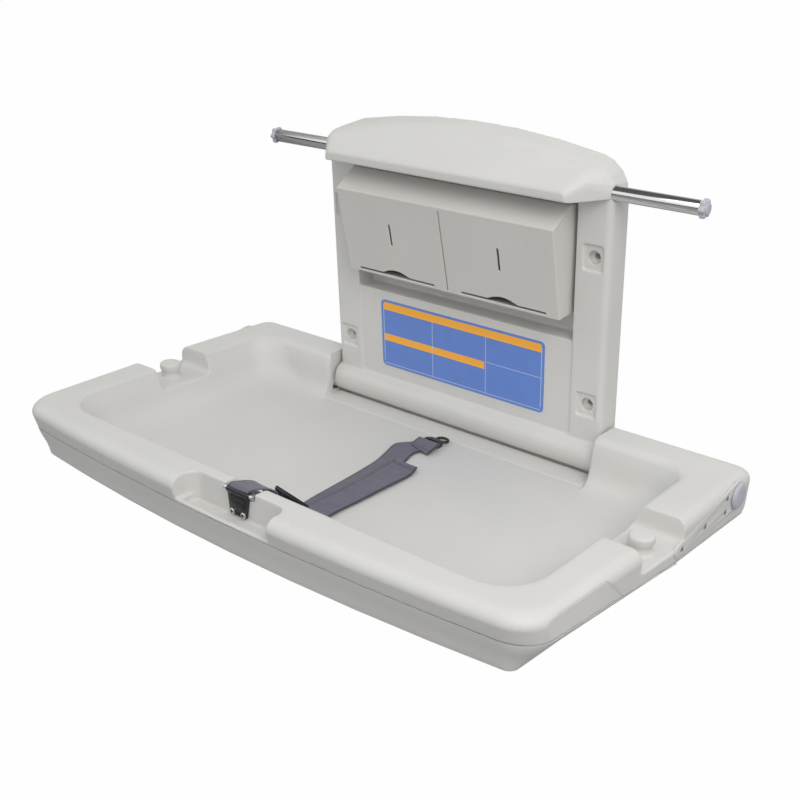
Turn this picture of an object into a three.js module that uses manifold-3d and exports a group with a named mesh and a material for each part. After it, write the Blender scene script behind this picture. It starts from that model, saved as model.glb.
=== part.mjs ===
// Wall-mounted baby changing station: a back plate with a liner dispenser and a bag rail,
// and a bed that folds up on two pins. Millimetres, +Z up, the wall is the plane Y = 0.
import * as THREE from 'three';
import { mergeVertices } from 'three/addons/utils/BufferGeometryUtils.js';
import Module from 'manifold-3d';

const wasm = await Module();
wasm.setup();

// Moulding
const WALL = 4;
const FIT = 0.3;
const RUNNING = 0.4;
const BEYOND = 60;
const ARC_STEPS = 4;
const ROUND = 12;
const CURVE = 5;
const SCREW_ROUND = 8;

// Overall
const PLATE_HALF = 228;
const BED_HALF = 424;
const BED_FRONT = -454;
const CHANNEL_HALF = PLATE_HALF + 2;

// Wall plate
const PLATE_DEPTH = 40;
const PLATE_BOTTOM = -46;
const PLATE_EDGE = 8;
const PANEL_HALF = PLATE_HALF - 46;
const PANEL_STEP = 2.5;
const PANEL_BOTTOM = -6;
const PANEL_CORNER = 7;
const ROLL_FRONT = 54.5;
const ROLL_MIDDLE = -27;
const ROLL_BOTTOM = -47.5;
const ROLL_EASE = 5;
const RIB = 8;
const RIB_PITCH = 105;

// Hood over the dispenser
const HOOD_BOTTOM = 324;
const HOOD_FRONT = 88;
const HOOD_FRONT_HALF = PLATE_HALF - 38;
const HOOD_TOP = 384;
const HOOD_ARCH = 1000;
const HOOD_FALL = 0.1;
const LIP = 14;
const LIP_ROUND = 5;
const SHOULDER = 36;
const SHOULDER_LIP = 7;
const SHOULDER_SHARE = 0.8;
const HOOD_STEP = 33;
const HOOD_ROOT = 300;
const HOOD_DEPTHS = [16, 32.6, 33.4, 48, 64, 76];
const HOOD_SPANS = 6;
const LIP_STEPS = 2;

// Liner dispenser
const BAY_HALF = PLATE_HALF - 47;
const BAY_FLOOR = 130;
const BAY_TOP = 315;
const BAY_BACK = 9;
const COVER_HALF = BAY_HALF - 6;
const COVER_WALL = 3;
const COVER_TOP_FRONT = 86;
const COVER_TOP = 288;
const COVER_LOW_FRONT = 64;
const COVER_LOW = 165;
const COVER_CROWN = 310;
const COVER_CROWN_FRONT = 48;
const SIGHT_X = 89;
const SIGHT_Z = 232;
const SIGHT_LENGTH = 32;
const SIGHT_WIDTH = 3.2;
const OUTLET_LENGTH = 134;
const OUTLET_GAP = 2.5;
const OUTLET_RISE = 4;
const FINGER_WIDTH = 48;
const FINGER_HEIGHT = 6.5;
const GROOVE = 1.6;
const GROOVE_LOW = COVER_LOW + 6;
const GROOVE_HIGH = COVER_TOP - 8;
const PIVOT_RADIUS = 3;
const PIVOT_Y = -24;
const PIVOT_Z = 184;
const PIVOT_ROOM = 6;

// Wall screws
const SCREW_X = PLATE_HALF - 23;
const SCREW_LOW = 45;
const SCREW_HIGH = 246;
const POCKET_WIDTH = 29;
const POCKET_HEIGHT = 34;
const POCKET_DEPTH = 3.5;
const POCKET_CORNER = 3;
const BORE_HEAD = 9;
const BORE_HEAD_DEPTH = 12;
const BORE_SHANK = 4.5;
const BOSS = 14;

// Bag rail
const ROD_RADIUS = 9;
const ROD_Y = -30;
const ROD_Z = 329;
const ROD_HALF = PLATE_HALF + 108;
const ROD_BORE = 7.5;
const CAP_LENGTH = 9;
const CAP_RADIUS = 12;
const CAP_WAVE = 1.4;
const CAP_LOBES = 6;
const CAP_PLUG = 14;
const ROD_BOSS = 14;

// Hinge: the plate's lugs cross the bed's inner end walls below the axis only
const AXIS_Y = -50;
const AXIS_Z = -8;
const BED_TILT = THREE.MathUtils.degToRad(5);
const FOLD = THREE.MathUtils.degToRad(83);
const PIN_RADIUS = 5;
const PIN_END = BED_HALF - 8;
const HUB = 9.5;
const HUB_X = CHANNEL_HALF + WALL + RUNNING;
const LUG_END = CHANNEL_HALF + 14;
const LUG_FOOT = { y: 6, z: -30, r: 8 };
const LUG_CLEAR = 2;
const BUSH_RADIUS = 8;
const BUSH_INNER_X = CHANNEL_HALF + 20;
const BUSH_OUTER_X = BED_HALF - 26;
const BUSH_LENGTH = 12;
const BUSH_RIB = { front: -26, low: -15 };
const DAMPER_RADIUS = 13;
const DAMPER_LENGTH = 20;
const REAR_RADIUS = 48;

// Bed, in its own frame: the hinge axis is the origin and -Y is the front
const BED_TAPER = 14;
const TAPER_FROM = 0.375 * BED_FRONT;
const BED_BOW = 22;
const BOW_SHARES = [-0.6, -0.2, 0.2, 0.6];
const FRONT_CORNER = 52;
const REAR_CORNER = 36;
const RIM = 21;
const RIM_ROUND = 14;
const SKIRT_REAR = -34.5;
const SKIRT_SLOPE = -0.05;
const FLOOR = -46;
const PAN = -56;
const FRONT_LEAN = 6;
const SIDE_LEAN = 1.5;
const PAN_FRONT_LEAN = 14;
const PAN_SIDE_LEAN = 50;
const PAN_CORNER = 12;
const UNDER_RISE = -80;
const FLOOR_REAR = 20;
const PAN_REAR = -62;
const STRIP_FRONT = -24;
const STRIP_STEP = 1.2;
const STRIP_RISE = 5;
// each row of the pan: share of its height, then how far its sides and its front have come in
const PAN_ROWS = [[0, 0, 0], [0.22, 0.18, 0.25], [0.55, 0.62, 0.65], [0.92, 0.96, 0.95], [1, 1.1, 1.3]];

// Basin
const BASIN_HALF = BED_HALF - 58;
const BASIN_FRONT = BED_FRONT + 60;
const BASIN_REAR = 2;
const BASIN_CORNER = 58;
const BASIN_REAR_CORNER = 100;
const CHANNEL_ROUND = 5;
const BASIN_FLARE = -7;
// each row: height, how far the front and side walls lean in, how far the rear wall leans in
const BASIN_LEVELS = [
  [RIM, BASIN_FLARE, 6], [RIM - 2, -2, 11], [RIM - 7, 0, 15],
  [0, 6, 17.5], [-20, 13, 19], [-36, 24, 24], [-43.5, 41, 33], [FLOOR, 60, 46],
];

// Handle recess, strap notch and bag posts
const RECESS_HALF = 77;
const RECESS_BACK = BED_FRONT + 37;
const RECESS_FLOOR = -8;
const RECESS_ROUND = 16;
const LIP_WIDTH = 13;
const SCOOP_DEPTH = 9;
const SCOOP_LENGTH = RECESS_BACK - BED_FRONT - LIP_WIDTH;
const SCOOP_ROUND = 9;
const CUP_WALL = 2.4;
const NOTCH_HALF = 24;
const NOTCH_DEPTH = 9.5;
const POST_X = BED_HALF - 30;
const POST_Y = 0.412 * BED_FRONT;
const POST_RADIUS = 14.5;
const POST_TOP = 14;
const POST_ROOT = 3;
const GAP_LENGTH = 94;
const GAP_FLOOR = -9;
const GAP_ROUND = 9;

// Hinge side covers
const COVER_PLATE = 3;
const COVER_HUB = 19;
const COVER_TIP = { y: -152, z: -13, r: 8 };
const COVER_SCREWS = [[-30, 7], [-31, -11], [-86, -8], [-144, -13]];
const COVER_SCREW_RADIUS = 3.6;
const COVER_SCREW_SHANK = 1.8;
const COVER_SCREW_LENGTH = 9;
const COVER_SCREW_HEAD = 1.3;
const COVER_SCREW_SEAT = 1.6;
const CAP_DISC = 17;
const CAP_PROUD = 5.4;
const CAP_BEVEL = 2;
const CAP_SPIGOT = 8;

// Pan screws: place in the bed and the height where the tray's column meets the pan
const PAN_SCREWS = [-1, 1].flatMap((side) => [
  [side * 0.7 * BED_HALF, BED_FRONT + 42, -44], [side * 0.38 * BED_HALF, BED_FRONT + 30, -44],
  [side * (BED_HALF - 50), 0.64 * BED_FRONT, -33], [side * (BED_HALF - 34), -95, -34],
]);
const COLUMN = 7;
const PAN_SCREW_HEAD = 4.2;
const PAN_SCREW_DEEP = 2.6;
const PAN_SCREW_SHANK = 2;
const PAN_SCREW_GRIP = 4;
const PAN_SCREW_BITE = 12;

// Strap bracket: a plate rolled around a bar
const BRACKET_BOTTOM = -14;
const BRACKET_HALF_TOP = 17.7;
const BRACKET_HALF_BOTTOM = 13.5;
const BRACKET_PLATE = 2.4;
const BRACKET_SCREWS = [[-9, -10], [9, -10]];
const BAR_RADIUS = 3;
const BAR_HALF = 24;
const BAR_Y = RECESS_BACK - 0.6;
const BAR_Z = 16.5;
const BARREL = 4.4;
const SMALL_SCREW = 3.4;
const SMALL_SCREW_RISE = 1.8;
const SMALL_SHANK = 1.7;
const SMALL_LENGTH = 9;

// Safety strap: centre lines of its three pieces, as places across, along and up
const STRAP = 38;
const STRAP_NARROW = 33;
const WEB = 1.8;
const STRAP_LOW = FLOOR + FIT;
const TAIL_LOW = STRAP_LOW + WEB + FIT;
const CLIP_Y = -58;
const FRONT_LINE = [
  [0, BAR_Y, BAR_Z + BARREL + FIT], [3, RECESS_BACK + 12, 18.5], [6, BASIN_FRONT - 4, 18],
  [8, BASIN_FRONT + 1, 15.5], [16, BASIN_FRONT + 5.6, 4],
];
const MAIN_LINE = [
  [34, BASIN_FRONT + 8.8, -3], [31, BASIN_FRONT + 14.2, -19], [27, BASIN_FRONT + 25, -33.5],
  [21, BASIN_FRONT + 41.5, -41.6], [16, BASIN_FRONT + 63, STRAP_LOW], [8, 0.634 * BED_FRONT, STRAP_LOW],
  [4, 0.467 * BED_FRONT, STRAP_LOW], [-2, 2.7 * CLIP_Y, STRAP_LOW], [-7, 2.05 * CLIP_Y, STRAP_LOW],
  [-4, 1.7 * CLIP_Y, STRAP_LOW + 3.5], [2, CLIP_Y - 1, STRAP_LOW + 4],
];
const TAIL_LINE = [
  [15.5, BASIN_FRONT + 69, TAIL_LOW], [15, 0.638 * BED_FRONT, TAIL_LOW], [16, 0.456 * BED_FRONT, TAIL_LOW],
  [14, 2.12 * CLIP_Y, TAIL_LOW],
];

// Strap fittings
const BUCKLE = { x: 53, y: BASIN_FRONT + 10.5, z: 7, half: 25, rise: 10.5, lean: 4, r: 2.4, turn: 10 };
const CLIP = { x: 2, width: 30, length: 16, thick: 7, corner: 4 };
const RING = { x: 8, y: 21, z: 4, radius: 8, wire: 1.9, wide: 1.1, long: 0.85 };

const material = (color, roughness, metalness = 0) =>
  new THREE.MeshStandardMaterial({ color, roughness, metalness });
const SHELL = material(0xcfcfca, 0.55);
const COVER = material(0xb9b8b3, 0.6);
const STEEL = material(0xc8cacc, 0.22, 1);
const CAP = material(0xd8d6e0, 0.5);
const NYLON = material(0xe6e4dc, 0.6);
const BLACK = material(0x1d1e1e, 0.45);
const WEBBING = material(0x716d7e, 0.9);

// A closed mesh from points and triangles, turned so that its faces point out
function closedGeometry(points, index) {
  let volume = 0;
  for (let i = 0; i < index.length; i += 3) {
    const [a, b, c] = [points[index[i]], points[index[i + 1]], points[index[i + 2]]];
    volume += a.dot(b.clone().cross(c));
  }
  if (volume < 0) index.reverse();
  const geometry = new THREE.BufferGeometry().setFromPoints(points);
  geometry.setIndex(index);
  return geometry;
}

function solid(geometry) {
  const bare = geometry.clone();
  bare.deleteAttribute('normal');
  bare.deleteAttribute('uv');
  const merged = mergeVertices(bare);
  return new wasm.Manifold(new wasm.Mesh({
    numProp: 3,
    vertProperties: new Float32Array(merged.attributes.position.array),
    triVerts: new Uint32Array(merged.index.array),
  }));
}

function geometryOf(body) {
  const mesh = body.getMesh();
  const geometry = new THREE.BufferGeometry();
  geometry.setAttribute('position', new THREE.BufferAttribute(mesh.vertProperties, 3));
  geometry.setIndex(new THREE.BufferAttribute(mesh.triVerts, 1));
  const flat = geometry.toNonIndexed();
  flat.computeVertexNormals();
  return flat;
}

// A skin through rings of equal length, closed by flat caps; flat maps a point to its cap's plane
function loft(rings, flat) {
  const count = rings[0].length;
  const index = [];
  for (let r = 0; r + 1 < rings.length; r += 1) {
    for (let i = 0; i < count; i += 1) {
      const a = r * count + i;
      const b = r * count + ((i + 1) % count);
      index.push(a, b, b + count, a, b + count, a + count);
    }
  }
  const last = (rings.length - 1) * count;
  const caps = [[rings[0], 0, false], [rings.at(-1), last, true]];
  for (const [ring, start, forward] of caps) {
    const outline = ring.map(flat);
    const turned = THREE.ShapeUtils.area(outline) < 0;
    const faces = THREE.ShapeUtils.triangulateShape(turned ? outline.toReversed() : outline, []);
    for (const face of faces) {
      const corners = face.map((i) => start + (turned ? count - 1 - i : i));
      index.push(...(forward === turned ? corners.toReversed() : corners));
    }
  }
  return solid(closedGeometry(rings.flat(), index));
}

const onZ = (p) => new THREE.Vector2(p.x, p.y);
const onY = (p) => new THREE.Vector2(p.x, p.z);
const level = (ring, z) => ring.map((p) => new THREE.Vector3(p.x, p.y, z));

// A closed ring of corners { x, y, r }, each with a radius turned into an arc
function roundedRing(corners, steps = ARC_STEPS) {
  const ring = [];
  corners.forEach((corner, i) => {
    const here = new THREE.Vector2(corner.x, corner.y);
    if (!corner.r) {
      ring.push(here);
      return;
    }
    const before = corners[(i + corners.length - 1) % corners.length];
    const after = corners[(i + 1) % corners.length];
    const back = new THREE.Vector2(before.x, before.y).sub(here).normalize();
    const on = new THREE.Vector2(after.x, after.y).sub(here).normalize();
    const half = Math.acos(THREE.MathUtils.clamp(back.dot(on), -1, 1)) / 2;
    const centre = back.clone().add(on).normalize().multiplyScalar(corner.r / Math.sin(half)).add(here);
    const from = back.multiplyScalar(corner.r / Math.tan(half)).add(here).sub(centre);
    const to = on.multiplyScalar(corner.r / Math.tan(half)).add(here).sub(centre);
    const sweep = Math.atan2(from.cross(to), from.dot(to));
    for (let s = 0; s <= steps; s += 1) {
      ring.push(from.clone().rotateAround(new THREE.Vector2(), (sweep * s) / steps).add(centre));
    }
  });
  return ring;
}

function box(x0, x1, y0, y1, z0, z1) {
  const geometry = new THREE.BoxGeometry(x1 - x0, y1 - y0, z1 - z0);
  return solid(geometry.translate((x0 + x1) / 2, (y0 + y1) / 2, (z0 + z1) / 2));
}

const shapeOf = (points) => new THREE.Shape(points.map(([a, b]) => new THREE.Vector2(a, b)));

function extrude(shape, depth, curveSegments = CURVE) {
  return new THREE.ExtrudeGeometry(shape, { depth, bevelEnabled: false, curveSegments });
}

// A shape drawn in (Y, Z), extruded along X
function alongX(shape, x0, x1) {
  const geometry = extrude(shape, x1 - x0);
  geometry.rotateX(Math.PI / 2).rotateZ(Math.PI / 2);
  return solid(geometry.translate(x0, 0, 0));
}

// A shape drawn in (X, Z), extruded along Y
function alongY(shape, y0, y1) {
  return solid(extrude(shape, y1 - y0).rotateX(Math.PI / 2).translate(0, y1, 0));
}

// A shape drawn in (X, Y), extruded along Z
function alongZ(shape, z0, z1) {
  return solid(extrude(shape, z1 - z0).translate(0, 0, z0));
}

function disc(radius, a = 0, b = 0) {
  const shape = new THREE.Shape();
  shape.absarc(a, b, radius, 0, 2 * Math.PI);
  return shape;
}

function roundedRectangle(width, height, radius, a = 0, b = 0) {
  const [w, h] = [width / 2, height / 2];
  const corners = [[-w, -h], [w, -h], [w, h], [-w, h]];
  return new THREE.Shape(roundedRing(corners.map(([x, y]) => ({ x: x + a, y: y + b, r: radius }))));
}

// Two round ends joined by their outer tangents
function taperedBar(from, to) {
  const along = Math.atan2(to.b - from.b, to.a - from.a);
  const spread = Math.acos((from.r - to.r) / Math.hypot(to.a - from.a, to.b - from.b));
  const shape = new THREE.Shape();
  shape.absarc(to.a, to.b, to.r, along - spread, along + spread);
  shape.absarc(from.a, from.b, from.r, along + spread, along - spread + 2 * Math.PI);
  return shape;
}

// A turned part about an axis along X, from a profile of (place on X, radius)
function turnedX(profile, segments = ROUND) {
  const points = profile.map(([x, r]) => new THREE.Vector2(r, x));
  return solid(new THREE.LatheGeometry(points, segments).rotateZ(-Math.PI / 2));
}

const tube = (x0, x1, inner, outer) =>
  turnedX([[x0, inner], [x0, outer], [x1, outer], [x1, inner], [x0, inner]]);
const pinX = (x0, x1, radius) => turnedX([[x0, 0], [x0, radius], [x1, radius], [x1, 0]]);
const join = (bodies) => bodies.reduce((sum, body) => sum.add(body));
const flipX = (body) => body.mirror([1, 0, 0]);

const part = new THREE.Group();
const bed = new THREE.Group();
bed.position.set(0, AXIS_Y, AXIS_Z);
bed.rotation.x = -BED_TILT;
part.add(bed);

function place(group, name, body, look) {
  const mesh = new THREE.Mesh(geometryOf(body), look);
  mesh.name = name;
  group.add(mesh);
}

function placePair(group, name, body, look) {
  place(group, `${name}_right`, body, look);
  place(group, `${name}_left`, flipX(body), look);
}

// Height of the hood's skin: a gentle arch at the wall, cut by a steeper slope to the lip
function hoodTop(x, depth) {
  const arch = HOOD_TOP - (x * x) / (2 * HOOD_ARCH) - HOOD_FALL * depth;
  const lip = HOOD_BOTTOM + LIP;
  const slope = (HOOD_TOP - HOOD_FALL * HOOD_FRONT / 3 - lip) / (HOOD_FRONT * 2 / 3);
  return Math.min(arch, lip + slope * (HOOD_FRONT - depth));
}

// One section of the hood; close to the wall it reaches lower, so that its shoulders stay round
function hoodRing(depth, inset, lift, drop) {
  const run = Math.max(0, (depth - PLATE_DEPTH) / (HOOD_FRONT - PLATE_DEPTH));
  const half = PLATE_HALF - run * (PLATE_HALF - HOOD_FRONT_HALF) - inset;
  const bottom = (depth < HOOD_STEP ? HOOD_ROOT : HOOD_BOTTOM) + inset + lift;
  const share = THREE.MathUtils.clamp(depth / HOOD_FRONT, 0, 1);
  const room = SHOULDER_SHARE * (hoodTop(half, depth) - inset - drop - bottom);
  const round = Math.min(THREE.MathUtils.lerp(SHOULDER, SHOULDER_LIP, share), room);
  const across = [];
  for (let s = 0; s <= ARC_STEPS; s += 1) {
    across.push(half - round * (1 - Math.cos((s * Math.PI) / 2 / ARC_STEPS)));
  }
  const outer = across.map((x) => -x).reverse();
  for (let s = 1; s < HOOD_SPANS; s += 1) across.push((half - round) * (1 - (2 * s) / HOOD_SPANS));
  const skin = [...across, ...outer].map((x) => {
    const over = Math.max(0, Math.abs(x) - (half - round));
    const fall = round - Math.sqrt(Math.max(0, round * round - over * over));
    return new THREE.Vector3(x, -depth, hoodTop(x, depth) - fall - inset - drop);
  });
  return [new THREE.Vector3(-half, -depth, bottom), new THREE.Vector3(half, -depth, bottom), ...skin];
}

function hood(inset, start) {
  const rings = [start, ...HOOD_DEPTHS].map((depth) => hoodRing(depth, inset, 0, 0));
  for (let s = 0; s <= LIP_STEPS; s += 1) {
    const turn = (s * Math.PI) / 2 / LIP_STEPS;
    const shrink = LIP_ROUND * (1 - Math.cos(turn));
    const depth = HOOD_FRONT - inset - LIP_ROUND * (1 - Math.sin(turn));
    rings.push(hoodRing(depth, inset, shrink / 2, shrink / 2));
  }
  return loft(rings, onY);
}

// The plate's flat body, with its front edges rounded
function slab() {
  const ring = (depth, inset) => roundedRing([
    { x: -PLATE_HALF + inset, y: PLATE_BOTTOM }, { x: PLATE_HALF - inset, y: PLATE_BOTTOM },
    { x: PLATE_HALF - inset, y: HOOD_BOTTOM + 1 }, { x: -PLATE_HALF + inset, y: HOOD_BOTTOM + 1 },
  ]).map((p) => new THREE.Vector3(p.x, -depth, p.y));
  const rings = [ring(0, 0)];
  for (let s = 0; s <= ARC_STEPS; s += 1) {
    const turn = (s * Math.PI) / 2 / ARC_STEPS;
    const depth = PLATE_DEPTH - PLATE_EDGE * (1 - Math.sin(turn));
    rings.push(ring(depth, PLATE_EDGE * (1 - Math.cos(turn))));
  }
  return loft(rings, onY);
}

function roll() {
  const shape = new THREE.Shape();
  shape.moveTo(-WALL, ROLL_BOTTOM);
  shape.lineTo(-WALL, PANEL_BOTTOM);
  shape.lineTo(-PLATE_DEPTH + PANEL_STEP, PANEL_BOTTOM);
  shape.quadraticCurveTo(-ROLL_FRONT, PANEL_BOTTOM - ROLL_EASE, -ROLL_FRONT, ROLL_MIDDLE);
  shape.quadraticCurveTo(-ROLL_FRONT, ROLL_BOTTOM + ROLL_EASE, -PLATE_DEPTH - WALL, ROLL_BOTTOM);
  return alongX(shape, -PLATE_HALF, PLATE_HALF);
}

const lugBar = (grow) => taperedBar(
  { a: 0, b: 0, r: HUB + grow }, { a: LUG_FOOT.y, b: LUG_FOOT.z, r: LUG_FOOT.r + grow });

function lug() {
  const arm = alongX(lugBar(0), HUB_X, LUG_END);
  const foot = alongX(disc(LUG_FOOT.r, LUG_FOOT.y, LUG_FOOT.z), PLATE_HALF - WALL, HUB_X + 1);
  const bore = pinX(HUB_X - 1, LUG_END + 1, PIN_RADIUS + FIT);
  return arm.add(foot).subtract(bore).translate([0, AXIS_Y, AXIS_Z]);
}

function screwPlaces() {
  return [SCREW_LOW, SCREW_HIGH].flatMap((z) => [-SCREW_X, SCREW_X].map((x) => [x, z]));
}

function plateCavity() {
  const hollow = box(-PLATE_HALF + WALL, PLATE_HALF - WALL, -PLATE_DEPTH + PANEL_STEP + WALL, BEYOND,
    PLATE_BOTTOM + WALL, HOOD_BOTTOM - 2 * WALL);
  const bay = box(-BAY_HALF - WALL, BAY_HALF + WALL, -HOOD_FRONT, -BAY_BACK + WALL,
    BAY_FLOOR - WALL, BAY_TOP + WALL);
  let cavity = hollow.add(hood(WALL, -BEYOND)).subtract(bay);
  for (const x of [-2, -1, 0, 1, 2].map((step) => step * RIB_PITCH)) {
    const rib = box(x - RIB / 2, x + RIB / 2, -HOOD_FRONT, 0, PLATE_BOTTOM, HOOD_TOP + BEYOND);
    cavity = cavity.subtract(rib);
  }
  for (const [x, z] of screwPlaces()) {
    cavity = cavity.subtract(alongY(disc(BOSS, x, z), -PLATE_DEPTH, 0));
  }
  const boss = pinX(PLATE_HALF - ROD_BOSS, PLATE_HALF, ROD_BOSS).translate([0, ROD_Y, ROD_Z]);
  return cavity.subtract(boss).subtract(flipX(boss));
}

function wallPlate() {
  let body = join([slab(), hood(0, 0), roll()]).subtract(plateCavity());
  body = body.subtract(box(-BAY_HALF, BAY_HALF, -HOOD_FRONT - BEYOND, -BAY_BACK, BAY_FLOOR, BAY_TOP));
  const panelHeight = BAY_FLOOR - PANEL_BOTTOM + BEYOND;
  const panelMiddle = PANEL_BOTTOM + panelHeight / 2;
  const panel = roundedRectangle(2 * PANEL_HALF, panelHeight, PANEL_CORNER, 0, panelMiddle);
  const front = box(-PANEL_HALF, PANEL_HALF, -PLATE_DEPTH - BEYOND, 0, PANEL_BOTTOM, BAY_FLOOR + 1);
  body = body.subtract(alongY(panel, -PLATE_DEPTH - 1, -PLATE_DEPTH + PANEL_STEP).intersect(front));
  for (const [x, z] of screwPlaces()) {
    const pocket = roundedRectangle(POCKET_WIDTH, POCKET_HEIGHT, POCKET_CORNER, x, z);
    body = body.subtract(alongY(pocket, -PLATE_DEPTH - 1, -PLATE_DEPTH + POCKET_DEPTH));
    body = body.subtract(alongY(disc(BORE_HEAD, x, z), -PLATE_DEPTH, -PLATE_DEPTH + BORE_HEAD_DEPTH));
    body = body.subtract(alongY(disc(BORE_SHANK, x, z), -PLATE_DEPTH, BEYOND));
  }
  const rail = pinX(-PLATE_HALF - BEYOND, PLATE_HALF + BEYOND, ROD_RADIUS + FIT);
  body = body.subtract(rail.translate([0, ROD_Y, ROD_Z]));
  const pivot = pinX(COVER_HALF, PLATE_HALF - WALL - PIVOT_ROOM, PIVOT_RADIUS + FIT);
  const held = pivot.translate([0, PIVOT_Y, PIVOT_Z]);
  body = body.subtract(held).subtract(flipX(held));
  return body.add(lug()).add(flipX(lug()));
}

const coverProfile = (inset) => shapeOf([
  [-BAY_BACK - FIT, COVER_LOW + inset], [-COVER_LOW_FRONT + inset, COVER_LOW + inset],
  [-COVER_TOP_FRONT + inset, COVER_TOP - inset / 2], [-COVER_CROWN_FRONT + inset / 2, COVER_CROWN - inset],
  [-BAY_BACK - FIT, COVER_CROWN - inset],
]);

function crescent(x) {
  const shape = new THREE.Shape();
  const low = COVER_LOW + OUTLET_RISE;
  shape.moveTo(x - OUTLET_LENGTH / 2, low);
  shape.lineTo(x + OUTLET_LENGTH / 2, low);
  shape.lineTo(x + OUTLET_LENGTH / 2, low + OUTLET_GAP);
  shape.lineTo(x + FINGER_WIDTH / 2, low + OUTLET_GAP);
  shape.quadraticCurveTo(x, low + OUTLET_GAP + 2 * FINGER_HEIGHT, x - FINGER_WIDTH / 2, low + OUTLET_GAP);
  shape.lineTo(x - OUTLET_LENGTH / 2, low + OUTLET_GAP);
  return shape;
}

function dispenserCover() {
  let body = alongX(coverProfile(0), -COVER_HALF, COVER_HALF);
  const inner = alongX(coverProfile(COVER_WALL), -COVER_HALF + COVER_WALL, COVER_HALF - COVER_WALL);
  body = body.subtract(inner.add(inner.translate([0, BAY_BACK, 0])));
  for (const side of [-1, 1]) {
    const sight = roundedRectangle(SIGHT_WIDTH, SIGHT_LENGTH, SIGHT_WIDTH / 2.2, side * SIGHT_X, SIGHT_Z);
    body = body.subtract(alongY(sight, -COVER_TOP_FRONT - 1, -COVER_LOW_FRONT + 2 * COVER_WALL));
    const outlet = alongY(crescent(side * SIGHT_X), -COVER_TOP_FRONT, -COVER_LOW_FRONT + 2 * COVER_WALL);
    body = body.subtract(outlet);
  }
  const skin = alongX(coverProfile(1), -GROOVE / 2, GROOVE / 2);
  const strip = box(-GROOVE / 2, GROOVE / 2, -COVER_TOP_FRONT - 1, -COVER_LOW_FRONT + COVER_WALL,
    GROOVE_LOW, GROOVE_HIGH);
  body = body.subtract(strip.subtract(skin));
  const hole = pinX(-PLATE_HALF, PLATE_HALF, PIVOT_RADIUS + FIT).translate([0, PIVOT_Y, PIVOT_Z]);
  return body.subtract(hole);
}

function rodCap() {
  const shape = new THREE.Shape();
  for (let i = 0; i <= CAP_LOBES * 6; i += 1) {
    const turn = (i * Math.PI) / (CAP_LOBES * 3);
    const radius = CAP_RADIUS - CAP_WAVE + CAP_WAVE * Math.cos(turn * CAP_LOBES);
    shape[i ? 'lineTo' : 'moveTo'](radius * Math.cos(turn), radius * Math.sin(turn));
  }
  const head = alongX(shape, ROD_HALF + FIT, ROD_HALF + CAP_LENGTH - 2);
  const plug = pinX(ROD_HALF - CAP_PLUG, ROD_HALF + 1, ROD_BORE - FIT);
  const face = pinX(ROD_HALF + 1, ROD_HALF + CAP_LENGTH, CAP_RADIUS - 3 * CAP_WAVE);
  return join([head, plug, face]).translate([0, ROD_Y, ROD_Z]);
}

function buildWallUnit() {
  place(part, 'wall_plate', wallPlate(), SHELL);
  place(part, 'dispenser_cover', dispenserCover(), COVER);
  const pivot = pinX(COVER_HALF - COVER_WALL - 2, PLATE_HALF - WALL - PIVOT_ROOM - 2, PIVOT_RADIUS);
  placePair(part, 'dispenser_pivot', pivot.translate([0, PIVOT_Y, PIVOT_Z]), STEEL);
  const rod = tube(-ROD_HALF, ROD_HALF, ROD_BORE, ROD_RADIUS);
  place(part, 'hanger_rod', rod.translate([0, ROD_Y, ROD_Z]), STEEL);
  placePair(part, 'rod_cap', rodCap(), CAP);
  const pin = pinX(HUB_X + FIT, PIN_END, PIN_RADIUS).translate([0, AXIS_Y, AXIS_Z]);
  placePair(part, 'hinge_pin', pin, STEEL);
}

// Outline of the bed seen from above, drawn in by the given amounts at its sides, front and rear
function bedOutline(side, front, rear, corner = FRONT_CORNER) {
  const half = BED_HALF - side;
  const nose = half - BED_TAPER;
  const end = { y: BED_FRONT + BED_BOW + front, r: corner };
  const bow = BOW_SHARES.map((share) => (
    { x: nose * share, y: BED_FRONT + BED_BOW * share * share + front }));
  return roundedRing([
    { x: -nose, ...end }, ...bow, { x: nose, ...end },
    { x: half, y: TAPER_FROM }, { x: half, y: REAR_RADIUS - rear, r: REAR_CORNER },
    { x: -half, y: REAR_RADIUS - rear, r: REAR_CORNER }, { x: -half, y: TAPER_FROM },
  ]);
}

// The bed's rear is round about the hinge axis, and its underside rises to meet that round
function rearForm(radius, bottom) {
  const shape = new THREE.Shape();
  shape.moveTo(2 * BED_FRONT, -BEYOND * 2);
  shape.lineTo(UNDER_RISE, -BEYOND * 2);
  shape.lineTo(UNDER_RISE, bottom);
  shape.lineTo(0, -radius);
  shape.absarc(0, 0, radius, -Math.PI / 2, Math.PI / 2);
  shape.lineTo(0, BEYOND * 2);
  shape.lineTo(2 * BED_FRONT, BEYOND * 2);
  return alongX(shape, -2 * BED_HALF, 2 * BED_HALF);
}

// The tray's lower edge runs deeper towards the rear
const skirtAt = (y) => SKIRT_REAR + SKIRT_SLOPE * y;
const sloped = (ring, drop) => ring.map((p) => new THREE.Vector3(p.x, p.y, skirtAt(p.y) - drop));

function trayOuter(inset, drop) {
  const round = RIM_ROUND - inset;
  const rings = [sloped(bedOutline(SIDE_LEAN + inset, FRONT_LEAN + inset, inset), drop)];
  for (let s = 0; s <= ARC_STEPS; s += 1) {
    const turn = (s * Math.PI) / 2 / ARC_STEPS;
    const shrink = inset + round * (1 - Math.cos(turn));
    rings.push(level(bedOutline(shrink, shrink, shrink), RIM - RIM_ROUND + round * Math.sin(turn)));
  }
  return loft(rings, onZ).intersect(rearForm(REAR_RADIUS - inset, PAN - 1 + inset));
}

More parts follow.
